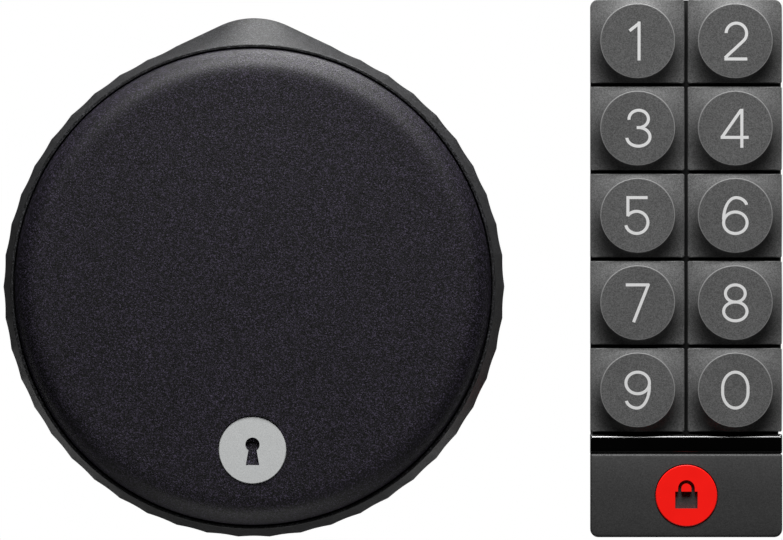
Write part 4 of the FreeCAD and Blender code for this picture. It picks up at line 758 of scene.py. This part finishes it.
def button_mesh():
    """The button: a panel with rounded edges that falls back towards its top and bottom."""
    low, high = button_low / MM, button_high / MM
    cx, cz = (low.x + high.x) / 2, (low.z + high.z) / 2
    half_width, half_height = (high.x - low.x) / 2, (high.z - low.z) / 2
    bottom, top = -high.y + stem_reach, -low.y
    corners = (small_corner, small_corner, case_corner, case_corner)
    round_over, fall_back, low_share = 0.3, 0.42, 0.3
    rings = []
    for depth, inset in [(bottom, 0.0)] + [
            (top - round_over + round_over * math.sin(a), round_over * (1 - math.cos(a)))
            for a in [math.pi / 2 * k / 6 for k in range(7)]]:
        radii = [max(radius - inset, 0.05) for radius in corners]
        outline = rounded_outline(half_width - inset, half_height - inset, radii)
        rings.append([(cx + x, depth, cz + z) for x, z in outline])
    last = rings[-1]
    for k in range(1, 20):
        rings.append([(cx + (x - cx) * (1 - k / 20), d, cz + (z - cz) * (1 - k / 20))
                      for x, d, z in last])
    mesh = stacked(rings, "button", 40.0)
    for vert in mesh.vertices:
        off = (vert.co.z / MM - cz) / half_height
        if -vert.co.y / MM > bottom + 0.05:
            vert.co.y += fall_back * (off ** 2 if off > 0 else low_share * off ** 4) * MM
    return mesh


button_badge_low, button_badge_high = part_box("button_badge")
pocket_centre = ((button_badge_low + button_badge_high) / 2) / MM
pocket_radius = (button_badge_high.x - button_badge_low.x) / 2 / MM + 2 * pocket_gap
button = cut_round(button_mesh(), (pocket_centre.x, pocket_centre.z), pocket_radius,
                   -button_badge_high.y / MM, -button_low.y / MM + 1, 40.0)
piece("lock_button_cap", button, "lock_button", button_abs, ["lock_button"])


# ---- Black mouldings ---------------------------------------------------------------------------
# The lock's fixed base, its latches and inner plates, and the keypad's case, door, frame and
# wall plate: black glass-filled nylon with an even spark texture from the mould.
def moulded(name, dark, light, texture_mm, roughness, depth_mm, ior=1.5):
    """Textured moulding: a fine even bump, and a slow drift of tone from the mould's flow."""
    material, tree, place = new_material(name)
    spark = add_node(tree, "ShaderNodeTexVoronoi",
                     {"Vector": place.outputs["Object"], "Scale": 1 / (texture_mm * MM)})
    flow = add_node(tree, "ShaderNodeTexNoise",
                    {"Vector": place.outputs["Object"], "Scale": 1 / (12.0 * MM), "Detail": 3.0})
    colour = add_node(tree, "ShaderNodeMix",
                      {0: flow.outputs["Fac"], 6: linear(dark), 7: linear(light)},
                      data_type="RGBA")
    rough = add_node(tree, "ShaderNodeMapRange",
                     {"Value": spark.outputs["Distance"], "To Min": roughness - 0.06,
                      "To Max": roughness + 0.08})
    bump = add_node(tree, "ShaderNodeBump", {"Height": spark.outputs["Distance"],
                                             "Strength": 0.5, "Distance": depth_mm * MM})
    shader = add_node(tree, "ShaderNodeBsdfPrincipled",
                      {"Base Color": colour.outputs[2], "Roughness": rough.outputs[0],
                       "IOR": ior, "Normal": bump.outputs[0]})
    add_node(tree, "ShaderNodeOutputMaterial", {"Surface": shader.outputs[0]})
    return material


black_nylon = moulded("black_glass_filled_nylon", "#0E0E0F", "#18181A", 0.35, 0.55, 0.02)
frame_black = moulded("black_frame_polycarbonate", "#050505", "#080808", 0.3, 0.7, 0.01)


# ---- Works -------------------------------------------------------------------------------------
# What shows when the faceplate is off or from behind: plated steel, sintered gears, acetal
# wheels, bronze bush, the board, the cells, and the rubber and foam of the keypad.
plated_steel = satin_metal("zinc_plated_steel", "#B4B7BA", 0.38, 0.25)
sintered = satin_metal("sintered_steel", "#85868A", 0.55, 0.12)
bronze = satin_metal("sintered_bronze", "#B08A52", 0.5, 0.12)
nickel = satin_metal("bright_nickel_plate", "#CFCDC6", 0.25, 0.3)
motor_can = satin_metal("drawn_motor_can", "#A9ABAE", 0.3, 0.3)
acetal = moulded("white_acetal", "#DEDDD4", "#E8E7E0", 0.3, 0.4, 0.005)
solder_mask = moulded("green_solder_mask", "#0D4B2C", "#115A36", 0.5, 0.3, 0.01)
sleeve = moulded("white_cell_sleeve", "#E2E4E6", "#ECEDEE", 0.5, 0.3, 0.003)
silicone = moulded("dark_silicone_rubber", "#2A2A2C", "#333336", 0.4, 0.75, 0.01)
foam = moulded("black_closed_cell_foam", "#131313", "#1D1D1D", 0.5, 0.9, 0.12)
grey_nylon = moulded("grey_adapter_nylon", "#8B8E92", "#979A9E", 0.3, 0.5, 0.01)
lamp = moulded("lamp_resin", "#EDEAD8", "#F5F3E6", 0.4, 0.3, 0.004)
works = {
    black_nylon: ("lock_base", "latch_left", "latch_right", "chassis_plate", "gear_cover",
                  "battery_tray", "keypad_case", "battery_door", "keypad_backplate", "buzzer"),
    frame_black: ("key_frame",),
    plated_steel: ("mounting_plate", "drive_hub", "face_keepers"),
    sintered: ("ring_gear", "output_gear", "gear_axles", "hub_clip", "latch_pins"),
    bronze: ("hub_bushing", "motor_pinion"),
    nickel: ("lock_contacts", "keypad_contacts", "dome_switches", "tray_magnets"),
    motor_can: ("motor",), acetal: ("first_gear", "second_gear"),
    solder_mask: ("main_board", "keypad_board"),
    sleeve: ("lock_cell_left", "lock_cell_right", "keypad_cells"),
    silicone: ("key_mat",), foam: ("wall_pad",), grey_nylon: ("tailpiece_adapter",),
    lamp: ("backlight_leds",)}


def finished_copy(name, material):
    """Show a CAD node as a copy with its facets smoothed and a better material."""
    shape = nodes[name].data
    mesh = smooth_mesh(name + "_finish", [v.co for v in shape.vertices],
                       [tuple(face.vertices) for face in shape.polygons], 28.0)
    piece(name + "_finish", mesh, nodes[name]["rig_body"], material, [name])


for material, names in works.items():
    for name in names:
        finished_copy(name, material)


# ---- Screws ------------------------------------------------------------------------------------
# Nine like pan-head screws of zinc-plated steel with a cross recess: three hold the chassis
# from behind, three hold the gear cover, and three the battery tray.
def loose_boxes(name):
    """Lowest and highest corner of each separate solid of a CAD node."""
    work = bmesh.new()
    work.from_mesh(nodes[name].data)
    bmesh.ops.remove_doubles(work, verts=work.verts, dist=1e-7)
    left = set(work.verts)
    boxes = []
    while left:
        stack, found = [left.pop()], []
        while stack:
            vert = stack.pop()
            found.append(vert.co.copy())
            for edge in vert.link_edges:
                other = edge.other_vert(vert)
                if other in left:
                    left.discard(other)
                    stack.append(other)
        boxes.append((Vector(map(min, zip(*found))), Vector(map(max, zip(*found)))))
    work.free()
    return sorted(boxes, key=lambda corners: tuple(corners[0]))


def screw_rule():
    """Geometry nodes: one screw with a cross recess, set on every point it is given."""
    tree = bpy.data.node_groups.new("screw_rule", "GeometryNodeTree")
    face = tree.interface
    face.new_socket("Geometry", in_out="INPUT", socket_type="NodeSocketGeometry")
    for name in ("Head radius", "Head height", "Shank radius", "Length", "Recess length",
                 "Recess width", "Recess depth"):
        face.new_socket(name, in_out="INPUT", socket_type="NodeSocketFloat")
    face.new_socket("Finish", in_out="INPUT", socket_type="NodeSocketMaterial")
    face.new_socket("Geometry", in_out="OUTPUT", socket_type="NodeSocketGeometry")
    given = add_node(tree, "NodeGroupInput").outputs
    maths = maths_in(tree)

    def moved_up(shape, height, turn=0.0):
        place = add_node(tree, "ShaderNodeCombineXYZ", {2: height})
        return add_node(tree, "GeometryNodeTransform",
                        {"Geometry": shape, "Translation": place.outputs[0],
                         "Rotation": (0.0, 0.0, turn)}).outputs[0]

    head = add_node(tree, "GeometryNodeMeshCone",
                    {"Vertices": 48, "Radius Bottom": given["Head radius"],
                     "Radius Top": maths("MULTIPLY", given["Head radius"], 0.86),
                     "Depth": maths("MULTIPLY", given["Head height"], 0.4)})
    rim = add_node(tree, "GeometryNodeMeshCylinder",
                   {"Vertices": 48, "Radius": given["Head radius"],
                    "Depth": maths("MULTIPLY", given["Head height"], 0.6)})
    shank = add_node(tree, "GeometryNodeMeshCylinder",
                     {"Vertices": 48, "Radius": given["Shank radius"], "Depth": given["Length"]})
    solid = add_node(tree, "GeometryNodeMeshBoolean", operation="UNION", solver="EXACT")
    half = maths("MULTIPLY", given["Head height"], 0.5)
    parts = (moved_up(head.outputs[0], maths("MULTIPLY", given["Head height"], 0.5999)),
             moved_up(rim.outputs[0], maths("MULTIPLY", given["Head height"], 0.3)),
             moved_up(shank.outputs[0],
                      maths("SUBTRACT", half, maths("MULTIPLY", given["Length"], 0.5))))
    for part in parts:
        tree.links.new(part, solid.inputs["Mesh 2"])
    size = add_node(tree, "ShaderNodeCombineXYZ",
                    {0: given["Recess length"], 1: given["Recess width"],
                     2: maths("MULTIPLY", given["Recess depth"], 2.0)})
    bar = add_node(tree, "GeometryNodeMeshCube", {"Size": size.outputs[0]})
    cross = add_node(tree, "GeometryNodeMeshBoolean", {"Mesh 1": solid.outputs[0]},
                     operation="DIFFERENCE", solver="EXACT")
    for turn in (0.0, math.pi / 2):
        tree.links.new(moved_up(bar.outputs[0], given["Head height"], turn),
                       cross.inputs["Mesh 2"])
    turned = add_node(tree, "GeometryNodeInputNamedAttribute", {"Name": "turn"},
                      data_type="FLOAT_VECTOR")
    placed = add_node(tree, "GeometryNodeInstanceOnPoints",
                      {"Points": given["Geometry"], "Instance": cross.outputs[0],
                       "Rotation": turned.outputs[0]})
    plain = add_node(tree, "GeometryNodeRealizeInstances", {0: placed.outputs[0]})
    coated = add_node(tree, "GeometryNodeSetMaterial",
                      {"Geometry": plain.outputs[0], "Material": given["Finish"]})
    add_node(tree, "NodeGroupOutput", {0: coated.outputs[0]})
    return tree


head_radius, head_height, shank_radius = 1.7, 1.1, 1.0
recess_width, recess_depth = 0.42, 0.55
chassis_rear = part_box("chassis_plate")[1].y
screw_boxes = loose_boxes("rotor_screws")
places, turns = [], []
for corner, far_corner in screw_boxes:
    faces_door = abs(far_corner.y - chassis_rear) < 0.5 * MM
    underside = far_corner.y - head_height * MM if faces_door else corner.y + head_height * MM
    places.append(((corner.x + far_corner.x) / 2, underside, (corner.z + far_corner.z) / 2))
    turns.append((math.radians(-90 if faces_door else 90), 0.0, 0.0))
screw_points = bpy.data.meshes.new("screw_places")
screw_points.from_pydata(places, [], [])
turn_values = screw_points.attributes.new("turn", "FLOAT_VECTOR", "POINT")
for i, turn in enumerate(turns):
    turn_values.data[i].vector = turn
screw_length = (screw_boxes[0][1] - screw_boxes[0][0]).y
screw_mesh = baked(screw_points, screw_rule(), {
    "Head radius": head_radius * MM, "Head height": head_height * MM,
    "Shank radius": shank_radius * MM, "Length": screw_length - head_height * MM / 2,
    "Recess length": 1.2 * head_radius * MM, "Recess width": recess_width * MM,
    "Recess depth": recess_depth * MM, "Finish": plated_steel})
screw_mesh.shade_smooth()
screw_mesh.set_sharp_from_angle(angle=math.radians(30))
piece("case_screws", screw_mesh, "rotor", plated_steel, ["rotor_screws"])

# The low fill, below and in front, lights the lock alone.
lit_low = bpy.data.collections.new("lit_from_below")
for name in ("turning_grip", "faceplate_cover", "lock_base_finish"):
    lit_low.objects.link(bpy.data.objects[name])
lock_fill.light_linking.receiver_collection = lit_low
